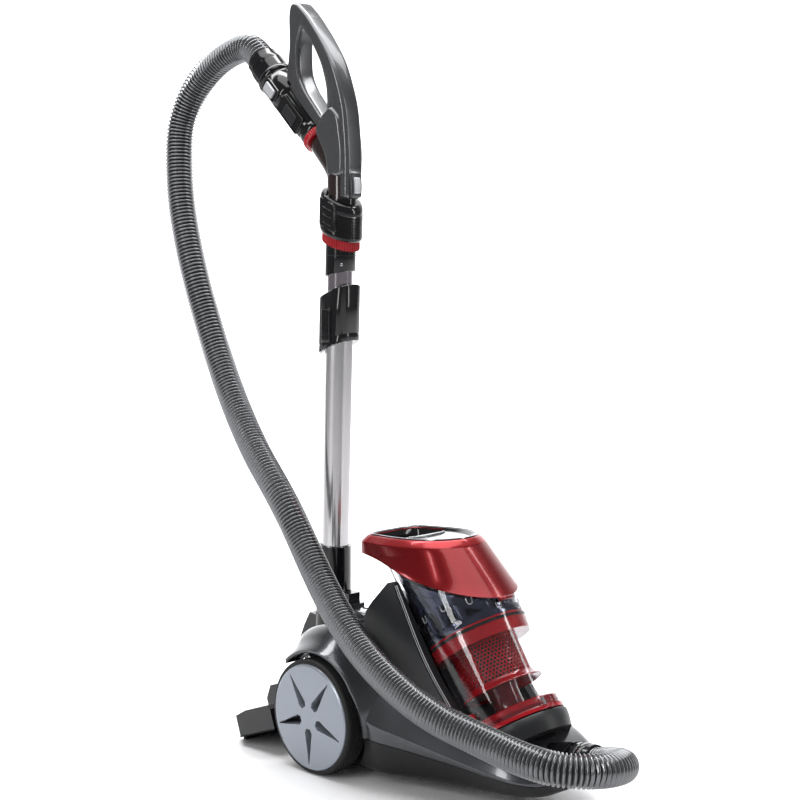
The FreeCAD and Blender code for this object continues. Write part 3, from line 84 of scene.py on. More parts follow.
# ------------------------------------------------------------------ camera
AIM = at(0, -24.15, 477.99)
CAMERA_AZIMUTH = math.radians(-43.32)
CAMERA_PITCH = math.radians(6.8)
CAMERA_DISTANCE = 2.4
back = Vector((
    math.sin(CAMERA_AZIMUTH) * math.cos(CAMERA_PITCH),
    -math.cos(CAMERA_AZIMUTH) * math.cos(CAMERA_PITCH),
    math.sin(CAMERA_PITCH),
))
camera_data = bpy.data.cameras.new("camera")
camera_data.lens = 82.8
camera_data.sensor_width = 36.0
camera = bpy.data.objects.new("camera", camera_data)
bpy.context.scene.collection.objects.link(camera)
camera.location = AIM + back * CAMERA_DISTANCE
camera.rotation_mode = "QUATERNION"
camera.rotation_quaternion = (-back).to_track_quat("-Z", "Y")
bpy.context.scene.camera = camera


# ------------------------------------------------------------------ materials
def material(name, colour, rough, metal=0.0, coat=0.0, shade=0.8, mottle=60.0, grain=900.0, depth=0.02,
             clear=0.0, spread=0.06, stretch=(1, 1, 1), ior=1.5, shine=0.5):
    """A moulded or metal finish: colour drifts between two shades, roughness varies, fine grain in relief."""
    mat = bpy.data.materials.new(name)
    mat.use_nodes = True
    nodes, links = mat.node_tree.nodes, mat.node_tree.links
    bsdf = nodes["Principled BSDF"]
    bsdf.inputs["Metallic"].default_value = metal
    bsdf.inputs["Coat Weight"].default_value = coat
    bsdf.inputs["Coat Roughness"].default_value = 0.04
    bsdf.inputs["Transmission Weight"].default_value = clear
    bsdf.inputs["IOR"].default_value = ior
    bsdf.inputs["Specular IOR Level"].default_value = shine
    where = nodes.new("ShaderNodeTexCoord")
    mapping = nodes.new("ShaderNodeMapping")
    mapping.inputs["Scale"].default_value = stretch
    links.new(where.outputs["Object"], mapping.inputs["Vector"])
    drift = nodes.new("ShaderNodeTexNoise")
    drift.inputs["Scale"].default_value = mottle
    drift.inputs["Detail"].default_value = 4.0
    links.new(mapping.outputs["Vector"], drift.inputs["Vector"])
    mix = nodes.new("ShaderNodeMix")
    mix.data_type = "RGBA"
    mix.inputs[6].default_value = (*[c * shade for c in colour], 1)
    mix.inputs[7].default_value = (*colour, 1)
    links.new(drift.outputs["Fac"], mix.inputs[0])
    links.new(mix.outputs[2], bsdf.inputs["Base Color"])
    span = nodes.new("ShaderNodeMapRange")
    span.inputs["To Min"].default_value = max(rough - spread, 0.0)
    span.inputs["To Max"].default_value = rough + spread
    links.new(drift.outputs["Fac"], span.inputs["Value"])
    links.new(span.outputs["Result"], bsdf.inputs["Roughness"])
    if depth:
        fine = nodes.new("ShaderNodeTexNoise")
        fine.inputs["Scale"].default_value = grain
        fine.inputs["Detail"].default_value = 2.0
        links.new(mapping.outputs["Vector"], fine.inputs["Vector"])
        bump = nodes.new("ShaderNodeBump")
        bump.inputs["Strength"].default_value = 0.5
        bump.inputs["Distance"].default_value = depth * MM
        links.new(fine.outputs["Fac"], bump.inputs["Height"])
        links.new(bump.outputs["Normal"], bsdf.inputs["Normal"])
    return mat


SHELL = material("shell_paint", (0.060, 0.062, 0.068), 0.2, metal=0.6, coat=0.4, shade=0.86, mottle=12,
    grain=2600, depth=0.004, shine=0.4)
CHARCOAL = material("charcoal_plastic", (0.018, 0.0185, 0.020), 0.4, metal=0.1, shade=0.85, mottle=25,
    grain=1500, depth=0.02, shine=0.3)
SATIN = material("black_satin", (0.010, 0.010, 0.011), 0.36, shade=0.8, mottle=30, grain=1300, depth=0.025,
    shine=0.25)
GLOSS = material("black_gloss", (0.005, 0.005, 0.006), 0.12, coat=0.2, shade=0.8, mottle=20, grain=600,
    depth=0.004, shine=0.3)
DARK = material("deep_black", (0.003, 0.003, 0.0035), 0.5, shade=0.7, mottle=30, grain=900, depth=0.02,
    shine=0.1)
STEEL = material("steel", (0.55, 0.55, 0.56), 0.3, metal=1.0, mottle=80, grain=1200, depth=0.01)
RUBBER = material("rubber", (0.009, 0.009, 0.0095), 0.55, shade=0.75, mottle=50, grain=1500, depth=0.04,
    shine=0.25)
LIGHT = material("light_grey", (0.46, 0.47, 0.49), 0.3, metal=0.2, coat=0.3, shade=0.93, mottle=40,
    grain=1500, depth=0.006)
HUB = material("hub_grey", (0.25, 0.275, 0.315), 0.33, metal=0.45, coat=0.25, shade=0.93, mottle=18,
    grain=2200, depth=0.006)
RED = material("red_gloss", (0.34, 0.003, 0.008), 0.2, coat=0.4, shade=0.85, mottle=25, grain=900,
    depth=0.004, shine=0.35)
WINE = material("wine_plastic", (0.17, 0.002, 0.007), 0.24, coat=0.3, shade=0.75, mottle=30, grain=900,
    depth=0.006, shine=0.35)
CANDY = material("candy_red", (0.155, 0.0008, 0.003), 0.24, metal=0.55, coat=0.25, shade=0.88, mottle=15,
    grain=4200, depth=0.006, shine=0.3)
# lighter red for the upward-facing top band of the lid: painted highlight
CANDY_TOP_SHEEN = material("candy_top_sheen", (0.30, 0.014, 0.018), 0.26, metal=0.6, coat=0.3, shade=0.92, mottle=15,
    grain=4200, depth=0.006, shine=0.35)
CLEAR = material("clear_plastic", (0.96, 0.965, 0.98), 0.015, clear=1.0, shade=0.99, mottle=6, depth=0,
    spread=0.012, ior=1.3)
CYCLONE = material("cyclone_blue", (0.035, 0.042, 0.085), 0.14, metal=0.6, coat=0.5, shade=0.6, mottle=30,
    grain=800, depth=0.006)
PLATE = material("plate_silver", (0.22, 0.224, 0.232), 0.26, metal=0.7, coat=0.3, shade=0.92, mottle=20,
    grain=2600, depth=0.006)
ALLOY = material("alloy_tube", (0.50, 0.49, 0.50), 0.24, metal=0.95, shade=0.9, mottle=22, grain=1600,
    depth=0.006, stretch=(1, 1, 0.03))
CHROME = material("chrome_tube", (0.46, 0.42, 0.46), 0.12, metal=1.0, shade=0.9, mottle=22, grain=1600,
    depth=0.003, stretch=(1, 1, 0.03))
HANDLE = material("handle_grey", (0.115, 0.117, 0.122), 0.25, metal=0.75, coat=0.25, shade=0.88, mottle=14,
    grain=2600, depth=0.006)
SPINE_DARK = material("handle_spine", (0.05, 0.051, 0.055), 0.28, metal=0.6, coat=0.25, shade=0.9,
    mottle=14, grain=2600, depth=0.006)
SPINE = material("spine_line", (0.62, 0.62, 0.62), 0.3, metal=0.4, shade=0.93, mottle=30, grain=1500,
    depth=0.004)
BROWN = material("pipe_brown", (0.018, 0.010, 0.0095), 0.16, coat=0.35, shade=0.8, mottle=18, grain=800,
    depth=0.004, shine=0.4)
HOSE_CREST = material("hose_crest", (0.17, 0.174, 0.18), 0.22, metal=0.85, shade=0.8, mottle=60, grain=1600,
    depth=0.01)
# near-black colour for the valleys between the hose's ribs: painted shade in the folds
HOSE_VALLEY_SHADE = material("hose_valley_shade", (0.006, 0.006, 0.0065), 0.5, shade=0.8, mottle=60, grain=1600,
    depth=0.02, shine=0.15)
TUFT_RED = material("red_tufts", (0.36, 0.006, 0.012), 0.5, shade=0.55, mottle=700, grain=2600, depth=0.25,
    shine=0.3)
TUFT_BLACK = material("black_tufts", (0.009, 0.009, 0.009), 0.6, shade=0.6, mottle=700, grain=2600,
    depth=0.25, shine=0.2)
FLOOR = material("studio_floor", (0.80, 0.80, 0.81), 0.42, shade=0.99, mottle=3, grain=300, depth=0.002)
FELT = material("filter_white", (0.75, 0.75, 0.72), 0.8, shade=0.85, mottle=300, grain=2000, depth=0.1)


# ------------------------------------------------------------------ mesh helpers
def add(name, verts, faces, body, mat, slot=None, replaces=(), smooth=35, bevel=0.0, levels=0, place=None,
        ridden=True, segments=3):
    """A new mesh piece, in millimetres before place, riding on a body."""
    mesh = bpy.data.meshes.new(name)
    mesh.from_pydata([tuple(v) for v in verts], [], faces)
    mesh.validate()
    if place is not None:
        mesh.transform(place)
    fresh = bmesh.new()
    fresh.from_mesh(mesh)
    bmesh.ops.remove_doubles(fresh, verts=fresh.verts, dist=1e-6)
    bmesh.ops.recalc_face_normals(fresh, faces=fresh.faces)
    fresh.to_mesh(mesh)
    fresh.free()
    for m in mat if isinstance(mat, (list, tuple)) else [mat]:
        mesh.materials.append(m)
    mesh.polygons.foreach_set("use_smooth", [True] * len(mesh.polygons))
    if smooth:
        mesh.set_sharp_from_angle(angle=math.radians(smooth))
    piece = bpy.data.objects.new(name, mesh)
    bpy.context.scene.collection.objects.link(piece)
    if bevel:
        soften = piece.modifiers.new("soften", "BEVEL")
        soften.width = bevel * MM
        soften.segments = segments
        soften.limit_method = "ANGLE"
        soften.angle_limit = math.radians(32)
        soften.harden_normals = False
    if levels:
        rounder = piece.modifiers.new("rounder", "SUBSURF")
        rounder.levels = rounder.render_levels = levels
    if ridden:
        settle(piece, body, replaces)
    return piece


def settle(piece, body, replaces=()):
    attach(piece, body)
    if replaces:
        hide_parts(*replaces)
    return piece


def baked(piece):
    """Applies a piece's modifiers to its mesh."""
    graph = bpy.context.evaluated_depsgraph_get()
    mesh = bpy.data.meshes.new_from_object(piece.evaluated_get(graph))
    piece.modifiers.clear()
    piece.data = mesh
    return piece


def carved(piece, cutters, operation="DIFFERENCE"):
    """Cuts closed meshes out of a piece and throws the cutters away."""
    for cutter in cutters:
        change = piece.modifiers.new("carve", "BOOLEAN")
        change.operation = operation
        change.solver = "EXACT"
        change.object = cutter
    baked(piece)
    for cutter in cutters:
        bpy.data.objects.remove(cutter)
    return piece


def smoothed(piece, degrees=35, bevel=0.0, segments=2):
    """Smooth shading with sharp edges kept, and an optional small bevel along them."""
    mesh = piece.data
    mesh.polygons.foreach_set("use_smooth", [True] * len(mesh.polygons))
    mesh.set_sharp_from_angle(angle=math.radians(degrees))
    if bevel:
        soften = piece.modifiers.new("soften", "BEVEL")
        soften.width = bevel * MM
        soften.segments = segments
        soften.limit_method = "ANGLE"
        soften.angle_limit = math.radians(degrees)
    return piece


def skin(rings, closed=True, caps=True):
    """Quads from one ring of points to the next."""
    count = len(rings[0])
    verts = [p for ring in rings for p in ring]
    faces = []
    for i in range(len(rings) - 1):
        for k in range(count if closed else count - 1):
            nxt = (k + 1) % count
            faces.append((i * count + k, i * count + nxt, (i + 1) * count + nxt, (i + 1) * count + k))
    if caps:
        faces.append(tuple(reversed(range(count))))
        faces.append(tuple(range((len(rings) - 1) * count, len(rings) * count)))
    return verts, faces


def circle(radius, z, count=64, squash=1.0, turn=0.0):
    step = 2 * math.pi / count
    return [(radius * math.cos(k * step + turn), radius * squash * math.sin(k * step + turn),
        z) for k in range(count)]


def lathed(profile, count=96, loop=False):
    """Revolves (r, z) points about Z. A looped profile closes on itself, an open one is capped."""
    rings = [circle(r, z, count) for r, z in profile]
    if loop:
        return skin(rings + rings[:1], caps=False)
    return skin(rings)


def prism(outline, low, high):
    """(x, y) outline raised from low to high."""
    return skin([[(x, y, low) for x, y in outline], [(x, y, high) for x, y in outline]])


def plate(outline, half_width):
    """(y, z) outline spread from -X to +X."""
    return skin([[(-half_width, y, z) for y, z in outline], [(half_width, y, z) for y, z in outline]])


def block(x0, x1, y0, y1, z0, z1):
    return prism([(x0, y0), (x1, y0), (x1, y1), (x0, y1)], z0, z1)


def joined(parts):
    """Several (verts, faces) as one."""
    verts, faces = [], []
    for more_verts, more_faces in parts:
        start = len(verts)
        verts += list(more_verts)
        faces += [tuple(start + k for k in face) for face in more_faces]
    return verts, faces


def curve_through(points, count):
    """Catmull-Rom curve through points, closed."""
    total = len(points)
    out = []
    for i in range(count):
        t = i * total / count
        k = int(t)
        f = t - k
        p0, p1, p2, p3 = (points[(k + j - 1) % total] for j in range(4))
        out.append(tuple(
            0.5 * (2 * b + (c - a) * f + (2 * a - 5 * b + 4 * c - d) * f * f
                   + (3 * b - a - 3 * c + d) * f * f * f)
            for a, b, c, d in zip(p0, p1, p2, p3)
        ))
    return out


def eased(places, values, where):
    """Smooth curve through (place, value) pairs that never overshoots."""
    if where <= places[0]:
        return values[0]
    for i in range(len(places) - 1):
        if where <= places[i + 1]:
            break
    else:
        return values[-1]

    def slope(k):
        if k <= 0 or k >= len(places) - 1:
            return (values[min(k + 1, len(values) - 1)] - values[max(k - 1, 0)]) / (
                places[min(k + 1, len(places) - 1)] - places[max(k - 1, 0)])
        left = (values[k] - values[k - 1]) / (places[k] - places[k - 1])
        right = (values[k + 1] - values[k]) / (places[k + 1] - places[k])
        return 0.0 if left * right <= 0 else 2 * left * right / (left + right)

    h = places[i + 1] - places[i]
    t = (where - places[i]) / h
    return (
        (2 * t ** 3 - 3 * t ** 2 + 1) * values[i] + (t ** 3 - 2 * t ** 2 + t) * h * slope(i)
        + (3 * t ** 2 - 2 * t ** 3) * values[i + 1] + (t ** 3 - t ** 2) * h * slope(i + 1)
    )


def dressed(node, mat, bevel=0.0):
    """A CAD node that stays, with its finish."""
    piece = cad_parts[node]
    piece.data.materials.clear()
    piece.data.materials.append(mat)
    smoothed(piece, 30, bevel)
    return piece


# ------------------------------------------------------------------ hose
FRONT_CUFF_LEN = 30.0
HOSE_FIRST_RUN, HOSE_LAST_RUN = 33.0, 24.0
inlet_dir = Vector((0, -math.cos(math.radians(INLET_RISE)), math.sin(math.radians(INLET_RISE))))
pipe_dir = Vector((0, CUFF_END_Y - RING_Y, CUFF_END_Z - RING_Z)).normalized()
hose_start = Vector((0, INLET_Y, INLET_Z)) + inlet_dir * FRONT_CUFF_LEN
hose_end = Vector((0, CUFF_END_Y, CUFF_END_Z))
HOSE_ROUTE = [
    (-33, -438, 90), (-84, -446, 97), (-124, -414, 100), (-132, -362, 104), (-134, -300, 113),
    (-145, -224, 129),
    (-140, -134, 161), (-124, -54, 199), (-104, 16, 246), (-93, 65, 291), (-90, 98, 328), (-84, 137, 361),
    (-72, 187, 394), (-54, 252, 448), (-46, 298, 509), (-45, 330, 572), (-46, 351, 622), (-44, 374, 680),
    (-40, 393, 737), (-33, 405, 795), (-27, 409, 838), (-20, 399, 873), (-13, 379, 903), (-8, 351, 926),
    (-4, 321, 940.5), (0, 293, 947.5),
]
hose_points = [hose_start, hose_start + inlet_dir * HOSE_FIRST_RUN]
hose_points += [Vector(p) for p in HOSE_ROUTE]
hose_points += [hose_end + pipe_dir * HOSE_LAST_RUN, hose_end]

route = bpy.data.curves.new("hose_route", "CURVE")
route.dimensions = "3D"
route.resolution_u = 24
spline = route.splines.new("NURBS")
spline.points.add(len(hose_points) - 1)
for point, place in zip(spline.points, hose_points):
    point.co = (*at(*place), 1)
spline.order_u = 3
spline.use_endpoint_u = True
route_object = bpy.data.objects.new("hose_route", route)
bpy.context.scene.collection.objects.link(route_object)
bpy.context.view_layer.update()
line_mesh = bpy.data.meshes.new_from_object(route_object)
hose_line = [v.co.copy() for v in line_mesh.vertices]
bpy.data.objects.remove(route_object)

HOSE_PITCH = 5.3 * MM
RIB_RADII = [17.0, 17.2, 19.2, 20.0, 20.0, 19.2, 17.2]
# rib steps that take the painted-shade valley colour
VALLEY_SHADE_STEPS = (0, 6)


def along(line, spacing):
    """Points spaced evenly along a line, and the line's length."""
    lengths = [0.0]
    for a, b in zip(line, line[1:]):
        lengths.append(lengths[-1] + (b - a).length)
    count = max(2, round(lengths[-1] / spacing))
    out, k = [], 0
    for i in range(count + 1):
        want = lengths[-1] * i / count
        while k < len(line) - 2 and lengths[k + 1] < want:
            k += 1
        share = (want - lengths[k]) / max(lengths[k + 1] - lengths[k], 1e-9)
        out.append(line[k].lerp(line[k + 1], share))
    return out, lengths[-1]


def swept_frames(points):
    """Centre, side and up at each point, carried along without twisting."""
    tangents = [(points[min(i + 1, len(points) - 1)] - points[max(i - 1,
        0)]).normalized() for i in range(len(points))]
    side = tangents[0].orthogonal().normalized()
    frames = []
    for point, tangent in zip(points, tangents):
        side = (side - tangent * side.dot(tangent)).normalized()
        frames.append((point, side, tangent.cross(side)))
    return frames


def ribbed_tube(name, line, steps_per_rib=len(RIB_RADII), around=40):
    points, length = along(line, HOSE_PITCH / steps_per_rib)
    rings = []
    for i, (centre, side, up) in enumerate(swept_frames(points)):
        radius = RIB_RADII[i % steps_per_rib] * MM
        rings.append([
            centre + (side * math.cos(a) + up * math.sin(a)) * radius
            for a in (2 * math.pi * k / around for k in range(around))
        ])
    verts, faces = skin(rings, caps=True)
    mesh = bpy.data.meshes.new(name)
    mesh.from_pydata(verts, [], faces)
    mesh.materials.append(HOSE_CREST)
    mesh.materials.append(HOSE_VALLEY_SHADE)
    for index, polygon in enumerate(mesh.polygons):
        polygon.use_smooth = True
        polygon.material_index = 1 if (index // around) % steps_per_rib in VALLEY_SHADE_STEPS else 0
    tube = bpy.data.objects.new(name, mesh)
    bpy.context.scene.collection.objects.link(tube)
    return tube, length, points


split = next(i for i, p in enumerate(hose_line) if p.z > 0.35)
for name, line, bodies, low_z, high_z in [
    ("hose_low_run", hose_line[: split + 1], ("canister", "wand_lower"), 0.14, 0.34),
    ("hose_high_run", hose_line[split:], ("wand_lower", "wand_upper"), 0.37, 0.90),
]:
    tube, length, points = ribbed_tube(name, line)
    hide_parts("hose")
    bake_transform(tube)

# ------------------------------------------------------------------ canister shell
# for each place along Y: half width and height of sill, crease, shoulder and deck edge
SECTIONS = [
    (-328, 30, 30, 58, 44, 54, 54, 45, 60), (-312, 38, 22, 73, 45, 66, 58, 55, 68),
    (-279, 46, 16, 86, 50, 76, 70, 62, 82), (-217, 62, 15, 99, 61, 84, 86, 68, 98),
    (-143, 86, 15, 113, 75, 94, 104, 74, 124), (-92, 106, 15, 121, 84, 102, 122, 72, 156),
    (-50, 104, 15, 118, 92, 104, 146, 64, 182), (0, 94, 15, 97, 94, 94, 159, 56, 186),
    (44, 92, 18, 97, 92, 92, 152, 54, 176), (66, 86, 26, 95, 88, 88, 132, 46, 150),
]
SECTION_PLACES = [s[0] for s in SECTIONS]
CORNER_REACH = [12, 5, 14, 12]
BODY_REAR, BODY_FRONT = 66.0, -328.0


def rounded(corners, reaches, steps=5):
    """A closed outline with its corners rounded; each corner becomes the same count of points."""
    out = []
    for k, corner in enumerate(corners):
        before, after = corners[k - 1], corners[(k + 1) % len(corners)]
        c, a, b = (Vector(p) for p in (corner, before, after))
        reach = min(reaches[k], 0.45 * (a - c).length, 0.45 * (b - c).length)
        start, end = c + (a - c).normalized() * reach, c + (b - c).normalized() * reach
        for i in range(steps):
            t = i / (steps - 1)
            out.append(tuple(start * (1 - t) ** 2 + c * 2 * t * (1 - t) + end * t ** 2))
    return out


def body_ring(y, inset=0.0):
    v = [eased(SECTION_PLACES, [s[k] for s in SECTIONS], y) for k in range(1, 9)]
    right = [(v[0], v[1]), (v[2], v[3]), (v[4], v[5]), (v[6], v[7])]
    corners = [(0, v[1])] + right + [(0, v[7] + 4)] + [(-x, z) for x, z in reversed(right)]
    reaches = [1] + CORNER_REACH + [30] + CORNER_REACH[::-1]
    ring = rounded(corners, reaches)
    middle_z = (v[1] + v[7]) / 2
    scale_x = 1 - inset / max(v[2], 1)
    scale_z = 1 - 2 * inset / max(v[7] - v[1], 1)
    return [(x * scale_x, y, middle_z + (z - middle_z) * scale_z) for x, z in ring]


def body_solid():
    stations = [(BODY_FRONT, 5.0), (BODY_FRONT + 0.6, 2.8), (BODY_FRONT + 2.4, 0.9)]
    span = BODY_REAR - BODY_FRONT
    stations += [(BODY_FRONT + 5 + (span - 10) * i / 54, 0.0) for i in range(55)]
    stations += [(BODY_REAR - 2.4, 0.9), (BODY_REAR - 0.6, 2.8), (BODY_REAR, 5.0)]
    return skin([body_ring(y, inset) for y, inset in stations])


PART_REAR_Z, PART_FRONT_Z = 73.0, 43.0
part_slope = (PART_REAR_Z - PART_FRONT_Z) / (BODY_REAR - BODY_FRONT)


def split_body(name, above, body, mat, slot):
    """The body solid on one side of the part line, closed along the cut."""
    verts, faces = body_solid()
    piece = add(name, verts, faces, body, mat, place=UPRIGHT, ridden=False, smooth=None)
    bm = bmesh.new()
    bm.from_mesh(piece.data)
    gap = 0.6 if above else -0.6
    normal = Vector((0, -part_slope, 1)).normalized()
    geometry = bm.verts[:] + bm.edges[:] + bm.faces[:]
    cut = bmesh.ops.bisect_plane(
        bm, geom=geometry, dist=1e-7, plane_co=at(0, BODY_REAR, PART_REAR_Z + gap), plane_no=normal,
        clear_inner=above, clear_outer=not above,
    )
    edges = [e for e in cut["geom_cut"] if isinstance(e, bmesh.types.BMEdge)]
    bmesh.ops.contextual_create(bm, geom=edges)
    bmesh.ops.recalc_face_normals(bm, faces=bm.faces)
    bm.to_mesh(piece.data)
    bm.free()
    return piece


def hull_of(points):
    bm = bmesh.new()
    for p in points:
        bm.verts.new(p)
    result = bmesh.ops.convex_hull(bm, input=bm.verts)
    inside = [v for v in set(result["geom_interior"]) if isinstance(v, bmesh.types.BMVert)]
    bmesh.ops.delete(bm, geom=inside, context="VERTS")
    mesh = bpy.data.meshes.new("hull")
    bm.to_mesh(mesh)
    bm.free()
    piece = bpy.data.objects.new("hull", mesh)
    bpy.context.scene.collection.objects.link(piece)
    return piece


def cutter(shape, place=UPRIGHT):
    return add("cutter", *shape, None, DARK, place=place, ridden=False, smooth=None)


BIN_R, BIN_TAPER = 67.5, 0.037
BIN_FOOT = -121.0
LIFT = Vector((0, 0, 0.2))


def bin_radius(w):
    return BIN_R + BIN_TAPER * w


def bin_sweep(grow):
    """The bin and the way it lifts out."""
    low, high = BIN_FOOT - 7.0, 150.0
    points = [BIN @ Vector(p) for p in circle(bin_radius(low) + grow, low) + circle(bin_radius(high) + grow,
        high)]
    return hull_of(points + [p + LIFT for p in points])


def across(x0, x1, y, z, radius, count=96):
    """A rod along X."""
    turn = Matrix.Translation(at(0, y, z)) @ Matrix.Rotation(math.radians(90), 4, "Y") @ Matrix.Scale(MM, 4)
    return cutter(lathed([(radius, x0), (radius, x1)], count), turn)


ARCH_R = WHEEL_R + 7.0
WELL_IN = 98.0
PEDAL_X = (9.0, 45.0)
PEDAL_Y = (-4.0, 42.0)
PEDAL_HALF = (PEDAL_X[1] - PEDAL_X[0]) / 2


def well_cutters():
    return [across(WELL_IN, 160, 0, WHEEL_R, ARCH_R), across(-160, -WELL_IN, 0, WHEEL_R, ARCH_R)]


def pedal_outline(side, grow, reach):
    x0, x1 = PEDAL_X[0] - grow, PEDAL_X[1] + grow
    y0, y1 = PEDAL_Y[0] - grow, PEDAL_Y[1] + grow
    corners = [(side * x0, y0), (side * x1, y0), (side * x1, y1), (side * x0, y1)]
    return rounded(corners, [reach] * 4, 6)


inlet_cut = cutter(lathed([(27.4, -40), (27.4, 60)], 96), INLET)
upper = split_body("upper_shell", True, "canister", SHELL, "shell_grey")
pedal_cuts = [cutter(prism(pedal_outline(side, 1.2, 7), 150, 230)) for side in (-1, 1)]
grille_cut = cutter(block(-36, 36, 60, 70, 84, 134))
carved(upper, well_cutters() + [bin_sweep(1.6), inlet_cut, grille_cut] + pedal_cuts)
smoothed(upper, 32, bevel=0.9, segments=3)
settle(upper, "canister", ["body_shell"])

lower = split_body("lower_shell_skin", False, "canister", SATIN, "black_satin")
caster_cut = cutter(lathed([(37, -5), (37, 49.5)], 64), leaning(-246, 0, 0))
carved(lower, well_cutters() + [caster_cut, cutter(lathed([(27.4, -40), (27.4, 60)], 96), INLET)])
smoothed(lower, 32, bevel=1.2, segments=3)
settle(lower, "canister", ["lower_shell"])

# the fender flares out of the shell over each wheel and runs forward into the crease
FENDER_X = 130.0
FLARE_FROM, FLARE_TO = 48.0, 188.0
LIP_FROM, LIP_TO = 46.0, 186.0
ARCH_STEPS = 60


def fender_edge(t):
    """Outer edge of the fender, which draws in over the last part of its arc."""
    return FENDER_X - 9.0 * (1 - min(1.0, (1 - t) / 0.30))


def fender(side):
    rings = []
    for i in range(ARCH_STEPS + 1):
        t = i / ARCH_STEPS
        turn = math.radians(FLARE_FROM + (FLARE_TO - FLARE_FROM) * t)
        grow = math.sin(min(1.0, t / 0.08, (1 - t) / 0.22) * math.pi / 2)
        depth = 3.2 + 26.0 * grow
        edge_x = fender_edge(t)
        profile = [
            (edge_x, 83.2), (edge_x, 86.0), (edge_x - 3.5, 88.6), (edge_x - 12, 91.0 + 0.06 * depth),
            (edge_x - 22, 92 + 0.32 * depth), (edge_x - 31, 93 + 0.58 * depth),
            (edge_x - 40, 92 + 0.72 * depth),
            (edge_x - 46, 88.0), (edge_x - 40, 83.2),
        ]
        c, s = math.cos(turn), math.sin(turn)
        rings.append([(side * x, r * c, WHEEL_R + r * s) for x, r in profile])
    return skin(rings)


for side, label in ((-1, "left"), (1, "right")):
    flare = add("fender_" + label, *fender(side), "canister", SHELL, "shell_grey", place=UPRIGHT, smooth=50)
    lip_rings = []
    for i in range(ARCH_STEPS + 1):
        turn = math.radians(LIP_FROM + (LIP_TO - LIP_FROM) * i / ARCH_STEPS)
        edge_x = fender_edge(i / ARCH_STEPS)
        c, s = math.cos(turn), math.sin(turn)
        lip = [(edge_x - 30, 82.0), (edge_x - 1.2, 82.0), (edge_x - 0.4, 83.4), (edge_x - 6, 84.6),
            (edge_x - 30, 84.6)]
        lip_rings.append([(side * x, r * c, WHEEL_R + r * s) for x, r in lip])
    add("arch_lip_" + label, *skin(lip_rings), "canister", GLOSS, "black_gloss", place=UPRIGHT, smooth=40)

# pedals on the deck
for side, node, body in ((-1, "power_pedal", "power_button"), (1, "rewind_pedal", "rewind_button")):
    outline = pedal_outline(side, 0, 6)
    cx = side * (PEDAL_X[0] + PEDAL_X[1]) / 2
    cy = (PEDAL_Y[0] + PEDAL_Y[1]) / 2
    rings = []
    for z, inset in ((166, 0), (190, 0), (194, 0.8), (196.6, 2.6), (197.6, 5.0)):
        k = 1 - inset / PEDAL_HALF
        rings.append([
            (cx + (x - cx) * k, cy + (y - cy) * k, z - 0.05 * (y - cy) - 0.006 * (y - cy) ** 2)
            for x, y in outline
        ])
    add("pedal_" + node, *skin(rings), body, SHELL, "shell_grey", [node], place=UPRIGHT, smooth=50)

# charcoal cradle beside the bin
CRADLE_SIDE = [(-40, 100), (-40, 207), (-52, 224), (-86, 258), (-94, 256), (-148, 163), (-214, 94),
    (-214, 60)]
CRADLE_REACH = [3, 14, 14, 7, 7, 60, 8, 3]
CRADLE_HALF = 79.0
cradle = add("cradle_panels", *plate(rounded(CRADLE_SIDE, CRADLE_REACH, 6), CRADLE_HALF), "canister",
             CHARCOAL, place=UPRIGHT, ridden=False, smooth=None)
carved(cradle, [bin_sweep(1.2)])
smoothed(cradle, 30, bevel=2.2, segments=4)
settle(cradle, "canister", ["bin_cradle"])


def cord_of(points, radius, count=12):
    """A thin round strip through points, in millimetres."""
    turns = [2 * math.pi * k / count for k in range(count)]
    rings = []
    for centre, side, up in swept_frames([Vector(p) for p in points]):
        rings.append([centre + (side * math.cos(a) + up * math.sin(a)) * radius for a in turns])
    return skin(rings)


# two fine light lines on each front face of the cradle, beside the bin: painted highlight standing in for the
# bright edges of the clear bin
cradle_front = [p for p in rounded(CRADLE_SIDE, CRADLE_REACH, 6) if p[0] < -95 and p[1] > 96]
cradle_front.sort(key=lambda p: -p[1])
for side in (-1, 1):
    for label, stand, size in (("a", 73.0, 0.6), ("b", 76.0, 0.35)):
        line = [(side * stand, y - 0.2, z + 0.1) for y, z in cradle_front]
        name = "cradle_edge_glint_" + ("left_" if side < 0 else "right_") + label
        add(name, *cord_of(line, size), "canister", LIGHT, "light_grey", place=UPRIGHT)

# ring that the bin's door stands on
seat_profile = [(61.5, -129.2), (63.5, -128.4), (64.6, -130), (64.0, -140), (61.5, -152), (40, -153),
    (40, -129.4)]
add("bin_seat", *lathed(seat_profile, 128, loop=True), "canister", CHARCOAL, "charcoal", place=BIN,
    smooth=40)

# ------------------------------------------------------------------ wheels
def wheel_frame(side):
    return Matrix.Translation(at(0, 0, WHEEL_R)) @ Matrix.Rotation(side * math.radians(90), 4,
        "Y") @ Matrix.Scale(MM, 4)


